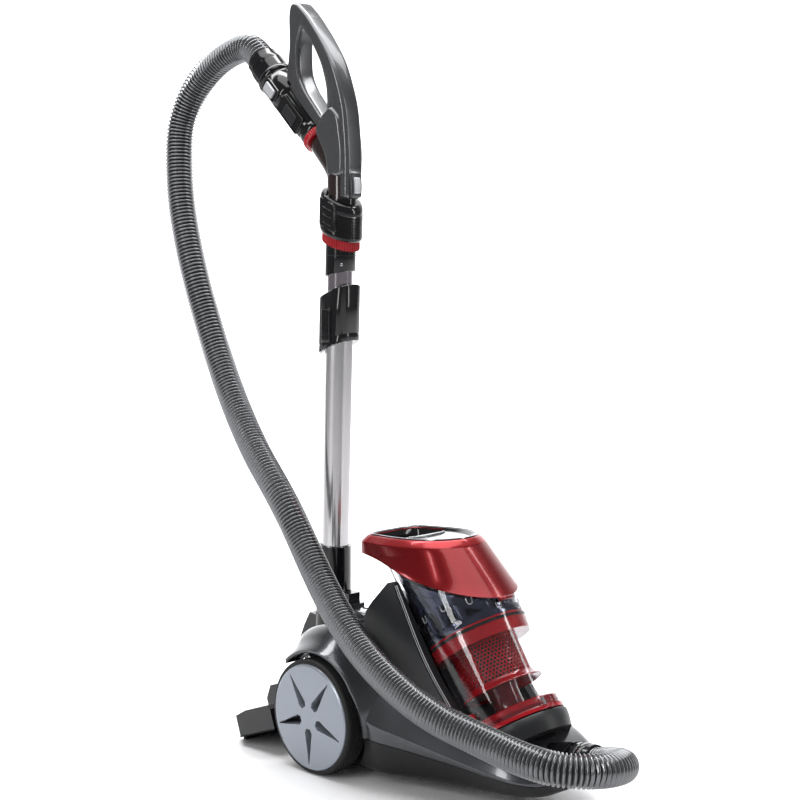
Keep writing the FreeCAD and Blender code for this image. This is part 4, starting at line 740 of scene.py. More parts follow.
HUB_PROFILE = [
    (0.2, 104), (6.3, 106), (14, 106), (16, 110), (60, 112), (64, 106), (69.4, 106), (69.4, 135.6),
    (68.6, 137.4), (66.8, 138.6),
    (60, 139.1), (40, 139.5), (24, 139.9), (10, 140), (0.2, 140),
]
HUB_SLOTS = 5
SLOT = [(15, -3.5), (20.5, -6.2), (30, -4.8), (62, -0.6), (62, 0.6), (30, 4.8), (20.5, 6.2), (15, 3.5)]
for side, label in ((-1, "left"), (1, "right")):
    place = wheel_frame(side)
    hub = add("hub_disc_" + label, *lathed(HUB_PROFILE, 160), None, HUB, place=place, ridden=False,
        smooth=None)
    cuts = []
    for k in range(HUB_SLOTS):
        turn = 2 * math.pi * k / HUB_SLOTS + (math.pi if side < 0 else 0)
        c, s = math.cos(turn), math.sin(turn)
        flared = [[(x, y * w) for x, y in SLOT] for w in (0.8, 0.8, 1.25)]
        rings = [[(x * c - y * s, x * s + y * c, z) for x, y in outline] for outline,
            z in zip(flared, (122, 134, 143))]
        cuts.append(cutter(skin(rings), place))
    carved(hub, cuts)
    smoothed(hub, 28, bevel=0.35)
    settle(hub, "wheel_" + label, ["hub_" + label])
    inner = lathed([(0.5, 118), (62, 118), (62, 126), (0.5, 126)], 64)
    add("hub_shadow_" + label, *inner, "wheel_" + label, DARK, "tyre_black", place=place)
    tyre = [(69.45, 104.5), (73.4, 104.5), (75, 106.5)]
    for k in range(7):
        z = 109 + 3.3 * k
        tyre += [(75, z), (74.1, z + 0.4), (74.1, z + 1.1), (75, z + 1.5)]
    tyre += [(75, 132.5), (74.6, 134.4), (73.2, 136), (71.2, 136.6), (69.45, 136.2)]
    add("tread_" + label, *lathed(tyre, 160, loop=True), "wheel_" + label, RUBBER, "tyre_black",
        ["tyre_" + label],
        place=place, smooth=40)

dressed("caster_fork", SATIN, 0.5)
dressed("caster_axle", STEEL)
caster_low, caster_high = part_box("caster_wheel")
caster_mid = (caster_low + caster_high) / 2
caster_place = Matrix.Translation(caster_mid) @ Matrix.Rotation(math.radians(90), 4, "Y") @ Matrix.Scale(MM,
    4)
caster_shape = [(3.1, -11), (15, -11), (17.8, -10), (19.6, -7.6), (20, -4), (20, 4), (19.6, 7.6),
    (17.8, 10), (15, 11), (3.1, 11)]
add("caster_tread", *lathed(caster_shape, 72, loop=True), "caster_roller", RUBBER, "tyre_black",
    ["caster_wheel"],
    place=caster_place, smooth=40)

# ------------------------------------------------------------------ inside and small CAD nodes
for node, mat, bevel in [
    ("motor_housing", SATIN, 0), ("motor", STEEL, 0), ("motor_mount", RUBBER, 0), ("cord_reel", SATIN, 0),
    ("exhaust_filter", FELT, 0), ("exhaust_grille", SATIN, 0.4), ("cord_inlet", SATIN, 0.5),
    ("axle_stubs", STEEL, 0),
    ("screws", STEEL, 0.2), ("park_socket", SHELL, 1.2), ("inlet_button", LIGHT, 1.2),
    ("hose_inlet", GLOSS, 0.8),
    ("door_gasket", WINE, 0), ("pre_motor_filter", FELT, 1.0), ("bin_collar", RED, 0),
    ("bin_seal", RUBBER, 0),
    ("door_release", RED, 1.5), ("door_latch", CLEAR, 0.8), ("wand_inner_tube", CHROME, 0),
    ("head_pin", STEEL, 0),
]:
    dressed(node, mat, bevel)

# ------------------------------------------------------------------ dust bin
RIM_Y, RIM_Z, RIM_SLOPE = -115.0, 265.0, 0.176
tilt = math.radians(BIN_LEAN)


def rim_height(turn, grow):
    """Height along the bin's axis where its wall meets the sloping rim, and the wall's radius there."""
    low, high = -150.0, 300.0
    for _ in range(50):
        w = (low + high) / 2
        r = bin_radius(w) + grow
        y = BIN_Y + w * math.sin(tilt) + r * math.sin(turn) * math.cos(tilt)
        z = BIN_Z + w * math.cos(tilt) - r * math.sin(turn) * math.sin(tilt)
        if z < RIM_Z + RIM_SLOPE * (y - RIM_Y):
            low = w
        else:
            high = w
    return w, r


AROUND = 128
LEDGE, LEDGE_HEIGHTS = 0.72, (5, 8)
BIN_WALL = 2.5
shell_rings = []
heights = [BIN_FOOT, -118, -100, -60, -20, 0, 2, 5, 8, 11, 14]
for w in heights:
    shell_rings.append(circle(bin_radius(w) + (LEDGE if w in LEDGE_HEIGHTS else 0.0), w, AROUND))
for share in (0.25, 0.5, 0.75, 1.0):
    ring = []
    for k in range(AROUND):
        turn = 2 * math.pi * k / AROUND
        top, _ = rim_height(turn, 0.0)
        w = 14 + (top - 14) * share
        ring.append((bin_radius(w) * math.cos(turn), bin_radius(w) * math.sin(turn), w))
    shell_rings.append(ring)
inner_rings = []
for ring in reversed(shell_rings):
    inner_rings.append([(x * (1 - BIN_WALL / BIN_R), y * (1 - BIN_WALL / BIN_R), w) for x, y, w in ring])
all_rings = shell_rings + inner_rings
add("bin_clear_shell", *skin(all_rings + all_rings[:1], caps=False), "bin", CLEAR, "clear", ["bin_shell"],
    place=BIN, smooth=30)

# perforated shroud: a hexagonal lattice wrapped round a cylinder
SHROUD_R = 44.0
HOLES_ROUND, HOLE_ROWS = 56, 12
SHROUD_LOW, SHROUD_LEN = -68.0, 52.0
pitch_w = SHROUD_LEN / HOLE_ROWS
lattice_verts, lattice_faces = [], []
for row in range(HOLE_ROWS):
    for column in range(HOLES_ROUND):
        middle = (column + 0.5 * (row % 2)) / HOLES_ROUND
        w0 = SHROUD_LOW + (row + 0.5) * pitch_w
        start = len(lattice_verts)
        for share in (1.0, 0.66):
            for k in range(6):
                a = math.pi / 3 * k + math.pi / 6
                reach_u = share / math.sqrt(3) / HOLES_ROUND
                reach_w = share * pitch_w * 2 / 3
                turn = 2 * math.pi * (middle + reach_u * math.cos(a))
                lattice_verts.append((SHROUD_R * math.cos(turn), SHROUD_R * math.sin(turn),
                    w0 + reach_w * math.sin(a)))
        for k in range(6):
            nxt = (k + 1) % 6
            lattice_faces.append((start + k, start + nxt, start + 6 + nxt, start + 6 + k))
lattice = add("shroud_lattice", lattice_verts, lattice_faces, "bin", RED, "red_dark", ["bin_shroud"],
    place=BIN, smooth=None)
thick = lattice.modifiers.new("wall", "SOLIDIFY")
thick.thickness = 1.2 * MM
thick.offset = -1
add("shroud_core", *lathed([(41.5, -70), (41.5, -17)], 96), "bin", DARK, "seal_black", place=BIN)
for k in range(4):
    turn = math.radians(20 + 90 * k)
    rib = block(SHROUD_R - 1, SHROUD_R + 1.8, -2.4, 2.4, -70, -18)
    add("shroud_rib_%d" % k, *rib, "bin", RED, "red_dark", place=BIN @ Matrix.Rotation(turn, 4, "Z"),
        bevel=0.8)
skirt = [
    (19, -68), (45.5, -68), (46.5, -70.5), (50, -74.5), (53.6, -76.6), (54, -77.6), (53.4, -78.2),
    (48, -76.6), (40, -74.6), (19, -74.2),
]
add("shroud_skirt", *lathed(skirt, 128, loop=True), "bin", RED, "red_dark", ["bin_skirt"], place=BIN,
    smooth=40)
stem = [(18, -73), (20.4, -73), (20.4, -78), (19.2, -80), (19.6, -112), (21.5, -115.5), (21.5, -116),
    (17.6, -116)]
add("bin_stem_tube", *lathed(stem, 96, loop=True), "bin", WINE, "red_dark", ["bin_stem"], place=BIN,
    smooth=40)
door = [(0.3, -127), (60, -127), (62.6, -126.2), (63, -125), (63, -121.6), (60.2, -121.2), (60.0, -110),
    (57.5, -108.2), (55, -110), (53.5, -117.6), (0.3, -118.8)]
add("bin_base_door", *lathed(door, 128), "bin", RED, "red_trim", ["bin_door"], place=BIN, smooth=40)
add("seal_red_line", *lathed([(60, 0.2), (64.9, 0.2), (64.9, 2.6), (60, 2.6)], 128, loop=True), "bin", RED,
    "red_trim", place=BIN)
add("cyclone_ring", *lathed([(50, 3), (63.6, 3), (64.2, 5), (64.4, 12), (62.0, 14), (50, 14)], 128,
    loop=True), "bin",
    CYCLONE, "cyclone_blue", ["cyclone_cluster"], place=BIN, smooth=40)
CYCLONES = 12
for k in range(CYCLONES):
    turn = 2 * math.pi * k / CYCLONES + 0.1
    top = min(rim_height(turn, -14)[0] - 9, 52)
    place = BIN @ Matrix.Rotation(turn, 4, "Z") @ Matrix.Translation((50, 0, 0))
    cone = [(6.5, 12), (8.4, 22), (11.3, top - 12), (12.6, top - 9), (12.6, top), (10.2, top), (8.0, 22),
        (5.5, 13)]
    add("cyclone_%02d" % k, *lathed(cone, 48, loop=True), "bin", CYCLONE, "cyclone_blue", place=place,
        smooth=40)
    hook = [(-3.2, 8), (-3.2, 2), (-2.2, 0.3), (0, -0.4), (2.2, 0.3), (3.2, 2), (3.2, 8)]
    w0 = top - 20
    reach = bin_radius(w0) - 3.2
    arc = [(reach * math.cos(u / 62), reach * math.sin(u / 62), w0 + h) for u, h in hook]
    add("cyclone_clip_%02d" % k, *cord_of(arc, 0.75, 8), "bin", LIGHT, "light_grey",
        place=BIN @ Matrix.Rotation(turn + 0.26, 4, "Z"))
manifold = []
for share, inset in ((0.0, 30.0), (0.0, 8.0), (0.04, 6.5), (0.5, 5.5), (0.55, 7.0), (0.94, 6.0), (1.0, 8.0),
    (1.0, 30.0)):
    ring = []
    for k in range(AROUND):
        turn = 2 * math.pi * k / AROUND
        high = rim_height(turn, -6.0)[0] - 6.0
        low = min(high - 14.0, 40.0)
        w = low + (high - low) * share
        reach = bin_radius(w) - inset
        ring.append((reach * math.cos(turn), reach * math.sin(turn), w))
    manifold.append(ring)
add("cyclone_manifold", *skin(manifold), "bin", CYCLONE, "cyclone_blue", place=BIN, smooth=40)
add("cyclone_core", *lathed([(30, 3), (40, 3), (40, 30), (30, 30)], 96, loop=True), "bin", CYCLONE,
    "cyclone_blue", place=BIN)

# ------------------------------------------------------------------ lid
LID_HALF, LID_REAR, LID_FRONT = 60.0, 2.0, -158.0
LID_TOP, LID_RISE = 303.0, 0.065


def lid_top(y):
    return LID_TOP + LID_RISE * (LID_REAR - y)


def lid_loop(inset, drop, count=AROUND):
    """Closed outline round the lid's top, square at the rear and round at the front."""
    half, rear, front = LID_HALF - inset, LID_REAR - inset, LID_FRONT + inset
    side = [(half * 0.55, rear), (half * 0.84, rear - 6), (half * 0.93, rear - 30), (half, rear - 66)]
    side += [(half * 0.94, front + 44), (half * 0.70, front + 17), (half * 0.36, front + 3.5)]
    loop = side + [(0, front)] + [(-x, y) for x, y in reversed(side)] + [(0, rear + 0.5)]
    return [(x, y, lid_top(y) - drop) for x, y in curve_through(loop, count)]


RIM_TURNS = [62, 42, 24, 2, -26, -50, -71]
RIM_TURNS = RIM_TURNS + [-90] + [-180 - a for a in reversed(RIM_TURNS)] + [90]


def rim_loop(grow, lift, count=AROUND):
    points = []
    for degrees in RIM_TURNS:
        turn = math.radians(degrees)
        w, r = rim_height(turn, grow)
        y = BIN_Y + w * math.sin(tilt) + r * math.sin(turn) * math.cos(tilt)
        z = BIN_Z + w * math.cos(tilt) - r * math.sin(turn) * math.sin(tilt)
        points.append((r * math.cos(turn), y, z + lift))
    return curve_through(points, count)


def between(a, b, share, bulge=0.0):
    out = []
    for p, q in zip(a, b):
        point = [u + (v - u) * share for u, v in zip(p, q)]
        out.append((point[0] * (1 + bulge * math.sin(math.pi * share)), point[1], point[2]))
    return out


def wing(loop, wall):
    """The shoulder dropped straight down by the side wall, tall at the rear and dying out forwards."""
    out = []
    for (x, y, z), foot in zip(loop, base):
        t = min(1.0, max(0.0, (y + 108) / 70))
        share = 3 * t * t - 2 * t ** 3
        front = [a + (b - a) * 0.25 for a, b in zip((x, y, z), foot)]
        rear = (x * 0.995, y - 0.4, z - wall)
        out.append(tuple(f + (r - f) * share for f, r in zip(front, rear)))
    return out


base, shoulder = rim_loop(2.0, 0.8), lid_loop(0, 9.0)
knee = wing(shoulder, 15.0)
lid_rings = [rim_loop(-1.0, 0.7), rim_loop(1.2, 0.6), rim_loop(2.0, 1.6)]
lid_rings += [between(base, knee, s) for s in (0.15, 0.4, 0.65, 0.85, 0.95)]
lid_rings += [between(knee, shoulder, s) for s in (0.0, 0.06, 0.3, 0.6, 0.9)]
lid_rings += [lid_loop(0.1, 9.0), lid_loop(0.5, 8.3)]
lid_rings += [lid_loop(2.5, 5.6), lid_loop(4.8, 2.8), lid_loop(6.6, 0.7), lid_loop(7.6, 0.1),
    lid_loop(9.0, 0.0)]
lid_rings += [lid_loop(13.4, 0.1), lid_loop(14.2, 0.8), lid_loop(14.4, 3.0), lid_loop(14.4, 12.0)]
lid_rings += [between(base, lid_loop(14.4, 12.0), 0.9), rim_loop(-8.0, 0.7)]
verts, faces = skin(lid_rings + lid_rings[:1], caps=False)
lid = add("lid_cover", verts, faces, None, [CANDY, CANDY_TOP_SHEEN], place=UPRIGHT, ridden=False, smooth=40)
# upward-facing faces near the lid's top take the lighter red: painted highlight from the light above
for polygon in lid.data.polygons:
    spot = polygon.center / MM
    depth = lid_top(spot.y - AXLE_Y / MM) - spot.z
    if depth < 8.6 and polygon.normal.z > 0.2:
        polygon.material_index = 1
settle(lid, "lid", ["bin_lid"])

# barrel of the hinge at the lid's front edge
hinge_barrel = [(0.8, -12), (2.1, -12), (2.5, -11.5), (2.5, 11.5), (2.1, 12), (0.8, 12)]
HINGE_Y, HINGE_Z = -216.2, 247.19
hinge_place = UPRIGHT @ Matrix.Translation((0, HINGE_Y, HINGE_Z)) @ Matrix.Rotation(math.radians(90), 4,
    "Y")
add("lid_hinge_barrel", *lathed(hinge_barrel, 32, loop=True), "lid", CANDY, "lid_red", place=hinge_place,
    smooth=40)

# black tray with a thin bright rim; its deep rear half takes the fingers, a silver plate fills the front
TRAY_STEP = -66.0
PLATE_MIDDLE = -112.0


def tray_depth(y, deep, shallow):
    t = min(1.0, max(0.0, (TRAY_STEP + 5 - y) / 10))
    return deep + (shallow - deep) * (3 * t * t - 2 * t ** 3)


def sunk(loop, deep, shallow):
    return [(x, y, lid_top(y) - tray_depth(y, deep, shallow)) for x, y, z in loop]


tray_rings = [lid_loop(8.6, 0.3), lid_loop(8.8, -0.9), lid_loop(10.4, -1.3), lid_loop(12.6, -1.0),
    lid_loop(13.8, 0.2)]
for share in (0.25, 0.5, 0.75, 0.93):
    tray_rings.append(sunk(lid_loop(14.6 + 6 * share, 0), 30 * share, 6.4 * share))
tray_rings += [sunk(lid_loop(23.0, 0), 30.6, 6.9), sunk(lid_loop(30.0, 0), 31.0, 7.0)]
for k in range(1, 8):
    floor_ring = [
        (x * (1 - k / 7), TRAY_STEP + (y - TRAY_STEP) * (1 - k * 0.06), z) for x, y, z in lid_loop(30.0, 0)
    ]
    tray_rings.append(sunk(floor_ring, 31.0, 7.0))
add("lid_tray_skin", *skin(tray_rings, caps=False), "lid", GLOSS, "black_gloss", ["lid_tray"],
    place=UPRIGHT, smooth=50)
rim_turns = [2 * math.pi * k / 8 for k in range(8)]
rim_line = [lid_loop(9.6 + 0.9 * math.cos(a), -1.1 - 0.9 * math.sin(a)) for a in rim_turns]
add("lid_rim_line", *skin(rim_line + rim_line[:1], caps=False), "lid", CHROME, "plate_silver",
    place=UPRIGHT)


def plate_ring(inset, drop):
    out = []
    for x, y, z in lid_loop(inset, 0):
        limited = min(y, TRAY_STEP - 1.5)
        out.append((x, limited, lid_top(limited) - drop))
    return out


plate_rings = [plate_ring(17.2, 5.6), plate_ring(17.0, 3.6), plate_ring(17.6, 2.6), plate_ring(19.5, 2.0)]
for k in range(1, 8):
    share = k / 8
    ring = []
    for x, y, z in plate_ring(19.5, 2.0):
        yy = PLATE_MIDDLE + (y - PLATE_MIDDLE) * (1 - share)
        ring.append((x * (1 - share), yy, lid_top(yy) - 2.0 - 1.2 * math.sin(share * math.pi / 2)))
    plate_rings.append(ring)
add("bin_release_plate", *skin(plate_rings, caps=True), "bin_button", PLATE, "plate_silver", ["lid_plate"],
    place=UPRIGHT, smooth=50)
grip_line = [(-32, -74), (-20, -79), (0, -81), (20, -79), (32, -74)]
ridge = [(x, y, lid_top(y) - 1.6) for x, y in grip_line]
add("plate_lip", *cord_of(ridge, 1.6, 12), "bin_button", PLATE, "plate_silver", place=UPRIGHT)

# ------------------------------------------------------------------ wand
def rounded_plate(outline, half, reach_in, reach_x, steps=6):
    """(y, z) outline spread from -X to +X, its long edges rounded over. A negative reach_in flares them."""
    count = len(outline)
    inward = []
    turn_sign = sum(
        outline[k - 1][0] * outline[k][1] - outline[k][0] * outline[k - 1][1] for k in range(count)
    )
    for k in range(count):
        ay, az = outline[k - 1]
        by, bz = outline[(k + 1) % count]
        length = max(math.hypot(by - ay, bz - az), 1e-6)
        flip = 1 if turn_sign > 0 else -1
        inward.append((-(bz - az) / length * flip, (by - ay) / length * flip))
    rings = []
    for side in (-1, 1):
        for i in range(steps + 1):
            a = math.pi / 2 * (i if side < 0 else steps - i) / steps
            inset = reach_in * (1 - math.sin(a))
            x = side * (half - reach_x * (1 - math.cos(a)))
            rings.append([(x, y + n[0] * inset, z + n[1] * inset) for (y, z), n in zip(outline, inward)])
    return skin(rings)


def slanted_ring(radius, height, rise, around=96):
    """A ring about +Z whose height goes from `height` at the front up by `rise` at the rear."""
    ring = []
    for k in range(around):
        turn = 2 * math.pi * k / around
        y = radius * math.sin(turn)
        ring.append((radius * math.cos(turn), y, height + rise * (y / BRUSH_R + 1) / 2))
    return ring


# silver tube: round, with flat faces and two fine ridges drawn along it
TUBE_R = 19.0


def tube_ring(z, around=120):
    ring = []
    for k in range(around):
        turn = 2 * math.pi * k / around
        flat = 0.45 * math.cos(6 * turn)
        ridge = 0.5 * sum(math.exp(-((turn - at_turn) / 0.05) ** 2) for at_turn in (3.75, 4.35, 5.25))
        r = TUBE_R - 0.45 + flat + ridge
        ring.append((r * math.cos(turn), r * math.sin(turn), z))
    return ring


add("silver_tube", *skin([tube_ring(236), tube_ring(600)]), "wand_lower", ALLOY, "tube_silver",
    ["wand_outer_tube"],
    place=WAND, smooth=60)

SLEEVE_X, SLEEVE_Y = 23.0, 25.5


def sleeve_ring(z, rise, grow):
    corners = []
    for sx, sy in ((1, 1), (-1, 1), (-1, -1), (1, -1)):
        corner = [(SLEEVE_X, SLEEVE_Y * 0.42), (SLEEVE_X * 0.80, SLEEVE_Y * 0.84),
            (SLEEVE_X * 0.40, SLEEVE_Y)]
        if sx * sy < 0:
            corner.reverse()
        corners += [(sx * x, sy * y) for x, y in corner]
    ring = rounded(corners, [6.0] * 12, 5)
    out = []
    for x, y in ring:
        length = math.hypot(x, y)
        k = 1 + grow / length
        out.append((x * k, y * k, z + rise * (0.5 - (y / SLEEVE_Y) / 2)))
    return out


SLEEVE_LOW, SLEEVE_TOP, SLEEVE_RISE = 529.0, 604.0, 22.0
SLEEVE_STEPS = [
    (SLEEVE_LOW - 0.2, -3.4), (SLEEVE_LOW, -1.0), (SLEEVE_LOW + 1.2, 0.0), (SLEEVE_LOW + 9, 0.0),
    (SLEEVE_LOW + 9.8, -0.6), (SLEEVE_LOW + 10.8, -0.6), (SLEEVE_LOW + 11.6, 0.0), (SLEEVE_TOP - 1.2, 0.0),
    (SLEEVE_TOP, -1.0), (SLEEVE_TOP + 0.3, -4.2),
]
sleeve_rings = [sleeve_ring(z, SLEEVE_RISE, grow) for z, grow in SLEEVE_STEPS]
add("locking_sleeve", *skin(sleeve_rings), "wand_lower", GLOSS, "black_gloss", ["wand_sleeve"], place=WAND,
    smooth=40)
# latch panel: a raised frame with grip ribs inside
panel = rounded([(-9, 548), (9, 548), (9, 594), (-9, 594)], [4] * 4, 6)
panel_place = WAND @ Matrix.Translation((-23.4, 0, 0))
add("latch_panel", *rounded_plate(panel, 1.6, 1.4, 1.2), "telescope_catch", GLOSS, "black_gloss",
    ["sleeve_latch"],
    place=panel_place, smooth=50)
ribs = [block(-2.2, -1.2, -5.5, 5.5, 554 + 8.5 * k, 555.6 + 8.5 * k) for k in range(5)]
add("latch_ribs", *joined(ribs), "telescope_catch", DARK, place=panel_place, bevel=0.4)
frame_line = [(-1.5, y, z) for y, z in rounded([(-7, 550.5), (7, 550.5), (7, 591.5), (-7, 591.5)], [3] * 4,
    4)]
add("latch_frame", *cord_of(frame_line + frame_line[:1], 0.5, 8), "telescope_catch", CHARCOAL,
    place=panel_place)

# collar that the handle tube plugs into, with its slanted foot
BRUSH_R = 29.0
collar_rings = [slanted_ring(17.4, 646.6, -17), slanted_ring(19.6, 646.4, -17),
    slanted_ring(20.5, 647.4, -17),
                slanted_ring(20.5, 664, -8), slanted_ring(20.5, 700, 0), slanted_ring(20.5, 743.5, 0)]
add("tube_collar", *skin(collar_rings), "wand_upper", GLOSS, "black_gloss", ["wand_collar"], place=WAND,
    smooth=40)
seam = [(20.6 * math.cos(a), 20.6 * math.sin(a), 664) for a in (2 * math.pi * k / 64 for k in range(65))]
add("collar_seam", *cord_of(seam, 0.35, 6), "wand_upper", CHARCOAL, place=WAND)
pin_place = WAND @ Matrix.Rotation(math.radians(-38), 4,
    "Z") @ Matrix.Translation((0, -20.6, 652)) @ Matrix.Rotation(
    math.radians(90), 4, "X")
add("collar_pin", *lathed([(0.2, -0.5), (2.0, -0.5), (2.0, 0.2), (1.4, 0.7), (0.2, 0.8)], 24), "wand_upper",
    CHROME,
    "tube_chrome", place=pin_place)

# dusting brush parked on the handle: collar with ribs, side panel and red tufts
BRUSH_TOP, BRUSH_TOP_RISE = 728.0, 27.0
BRUSH_LOW, BRUSH_LOW_RISE = 681.0, 20.0


def brush_ring(share, radius):
    height = BRUSH_LOW + (BRUSH_TOP - BRUSH_LOW) * share
    rise = BRUSH_LOW_RISE + (BRUSH_TOP_RISE - BRUSH_LOW_RISE) * share
    return slanted_ring(radius, height, rise)


brush_rings = [brush_ring(0.0, 21.5), brush_ring(0.0, 27.0), brush_ring(0.03, 28.2)]
for k in range(8):
    low = 0.06 + 0.085 * k
    brush_rings += [brush_ring(low, 28.9), brush_ring(low + 0.055, 28.9), brush_ring(low + 0.065, 28.2),
                    brush_ring(low + 0.08, 28.2)]
brush_rings += [brush_ring(0.78, 28.8), brush_ring(0.88, 28.6), brush_ring(0.95, 27.6),
    brush_ring(0.99, 26.0),
                brush_ring(1.0, 24.0), brush_ring(1.0, 20.6)]
add("brush_collar", *skin(brush_rings, caps=False), "wand_upper", GLOSS, "black_gloss", ["dusting_brush"],
    place=WAND, smooth=38)
for k in range(3):
    notch = rounded([(-4.5, 697 + 7 * k), (4.5, 697 + 7 * k), (4.5, 699.4 + 7 * k), (-4.5, 699.4 + 7 * k)],
        [1] * 4, 4)
    spot = WAND @ Matrix.Rotation(math.radians(-62), 4,
        "Z") @ Matrix.Translation((0, -28.6, 0)) @ Matrix.Rotation(
        math.radians(90), 4, "Z")
    add("brush_notch_%d" % k, *rounded_plate(notch, 0.8, 0.5, 0.4), "wand_upper", DARK, place=spot)
side_panel = rounded([(-17, 694), (13, 704), (13, 742), (-17, 730)], [3] * 4, 5)
add("brush_side_panel", *rounded_plate(side_panel, 3.0, 1.6, 1.4), "wand_upper", GLOSS, "black_gloss",
    place=WAND @ Matrix.Translation((-25.6, 0, 0)), smooth=50)
# three thin lighter lines across the brush's side panel: painted highlights
for k in range(3):
    y0, z0 = -12, 703 + 10 * k
    add("brush_panel_highlight_%d" % k, *cord_of([(-28.8, y0, z0), (-28.8, y0 + 18, z0 + 5.5)], 0.5, 8),
        "wand_upper",
        CHARCOAL, place=WAND)


TUFTS, TUFT_POINTS = 44, 44 * 8


def tuft_ring(height, radius, depth, scallop):
    ring = []
    for k in range(TUFT_POINTS):
        turn = 2 * math.pi * k / TUFT_POINTS
        r = radius + depth * (math.cos(TUFTS * turn) - 1) / 2
        y = r * math.sin(turn)
        z = height + BRUSH_LOW_RISE * (y / BRUSH_R + 1) / 2 - scallop * (1 + math.cos(TUFTS * turn)) / 2
        ring.append((r * math.cos(turn), y, z))
    return ring


tuft_rings = [tuft_ring(683, 22.0, 0.4, 0), tuft_ring(683, 25.2, 0.8, 0), tuft_ring(676, 25.4, 1.1, 0),
              tuft_ring(670, 25.6, 1.3, 0.8), tuft_ring(668.4, 24.8, 1.2, 1.0),
              tuft_ring(669, 22.6, 0.4, 0.6),
              tuft_ring(672, 20.6, 0.2, 0)]
add("brush_tufts", *skin(tuft_rings, caps=False), "wand_upper", TUFT_RED, "bristle_red", ["brush_bristles"],
    place=WAND,
    smooth=60)

# ------------------------------------------------------------------ handle
GRIP = [
    (63, 738), (62, 802), (68, 857), (78, 888), (92, 920), (116, 952), (146, 985), (165, 1000),
    (177, 998.5), (181, 984),
    (180, 941), (184, 917), (187, 897), (178, 884), (157, 857), (126, 822), (104, 792), (102, 738),
]
GRIP_REACH = [7, 30, 30, 20, 22, 26, 26, 6, 7, 12, 22, 16, 14, 10, 22, 26, 20, 7]
FINGERS = [(155, 967), (162, 944), (161, 905), (150, 885), (113, 846), (103, 856), (104, 884), (114, 914),
    (134, 945)]
FINGER_REACH = [8, 16, 16, 12, 9, 8, 16, 18, 22]
SADDLE = [(68, 768), (66, 800), (74, 846), (92, 862), (112, 846), (124, 828), (101, 793), (98, 766)]
SADDLE_REACH = [8, 20, 14, 9, 7, 7, 14, 8]


def grip_front(z):
    """Front edge of the loop at a height."""
    return eased([p[1] for p in GRIP[:8]], [p[0] for p in GRIP[:8]], z)


grip_outline = rounded(GRIP, GRIP_REACH, 9)
grip = add("handle_loop", *rounded_plate(grip_outline, 15.0, 4.5, 6.5, 7), None, HANDLE, place=UPRIGHT,
    ridden=False,
           smooth=None)
finger_cut = cutter(rounded_plate(rounded(FINGERS, FINGER_REACH, 9), 15.6, -4.5, 7.5, 7))
# room for the hose connector and its button to turn about the pipe
SWIVEL_ROOM = [(0, 2), (24.6, 2), (24.6, 77), (30.6, 79), (30.6, 118), (0, 118)]
carved(grip, [finger_cut, cutter(lathed(SWIVEL_ROOM, 96), PIPE)])
grip.data.materials.append(SPINE_DARK)
for polygon in grip.data.polygons:
    spot = polygon.center / MM
    if polygon.normal.y < -0.72 and spot.z > 770 and abs(spot.x) < 10.5:
        if spot.y - AXLE_Y / MM < grip_front(spot.z) + 9:
            polygon.material_index = 1
smoothed(grip, 34)
settle(grip, "wand_upper", ["handle_grip"])
saddle = add("handle_saddle", *rounded_plate(rounded(SADDLE, SADDLE_REACH, 8), 20.0, 5.0, 7.0, 8), None,
    HANDLE,
             place=UPRIGHT, ridden=False, smooth=None)
carved(saddle, [cutter(lathed(SWIVEL_ROOM, 96), PIPE)])
smoothed(saddle, 34)
settle(saddle, "wand_upper")
barrel_place = leaning(88, 0, 0)
barrel = [(20.4, 738), (20.4, 741), (20.0, 743), (20.0, 770), (19.4, 785), (17.0, 800), (12.0, 812),
    (4.0, 818)]
add("handle_barrel", *lathed(barrel, 96), "wand_upper", BROWN, "pipe_brown", place=barrel_place, smooth=60)
for side in (-1, 1):
    edge = [(side * 10.4, y + 1.0, z) for y,
        z in grip_outline if z > 785 and y < grip_front(z) + 6 and z < 992]
    edge.sort(key=lambda p: p[2])
    add("spine_line_" + ("left" if side < 0 else "right"), *cord_of(edge, 0.55, 8), "wand_upper", SPINE,
        place=UPRIGHT)
trigger_frame = rounded([(58.5, 739), (57.0, 757), (60.0, 773), (68, 778), (74, 739)], [4, 8, 6, 4, 2], 5)
add("trigger_bezel", *rounded_plate(trigger_frame, 9.5, 2.5, 3.5), "wand_upper", SPINE_DARK, "handle_grey",
    place=UPRIGHT, smooth=50)
trigger = rounded([(56.4, 745), (55.6, 756), (57.0, 766.5), (63.6, 766.5), (63.6, 745)], [2, 6, 2.5, 1, 1],
    5)
add("trigger", *rounded_plate(trigger, 5.2, 1.4, 1.6), "grip_catch", LIGHT, "light_grey", ["handle_button"],
    place=UPRIGHT,
    smooth=50)

# dark pipe that turns from the barrel up to the hose
PIPE_BEND = [(88, 742), (88, 756), (89.5, 767), (94, 777.5), (101.5, 787), (111, 797), (122, 808),
    (134, 819)]
PIPE_R = 18.6
add("suction_pipe", *cord_of([(0, y, z) for y, z in PIPE_BEND], PIPE_R, 64), "wand_upper", BROWN,
    "pipe_brown", ["handle_pipe"], place=UPRIGHT, smooth=60, levels=1)


def knurled(radius, low, high, teeth, depth):
    """A ring of fine teeth about +Z."""
    rings = []
    for z, drop in ((low, 1.2), (low + 1, 0.0), (high - 1, 0.0), (high, 1.2)):
        ring = []
        for k in range(teeth * 4):
            lift = depth if k % 4 in (1, 2) else 0.0
            r = radius - drop - depth + lift
            a = 2 * math.pi * k / (teeth * 4)
            ring.append((r * math.cos(a), r * math.sin(a), z))
        rings.append(ring)
    return skin(rings)


add("suction_dial", *knurled(22.6, -4.6, 4.6, 40, 0.7), "suction_collar", RED, "red_trim", ["suction_ring"],
    place=PIPE,
    smooth=30, bevel=0.25)

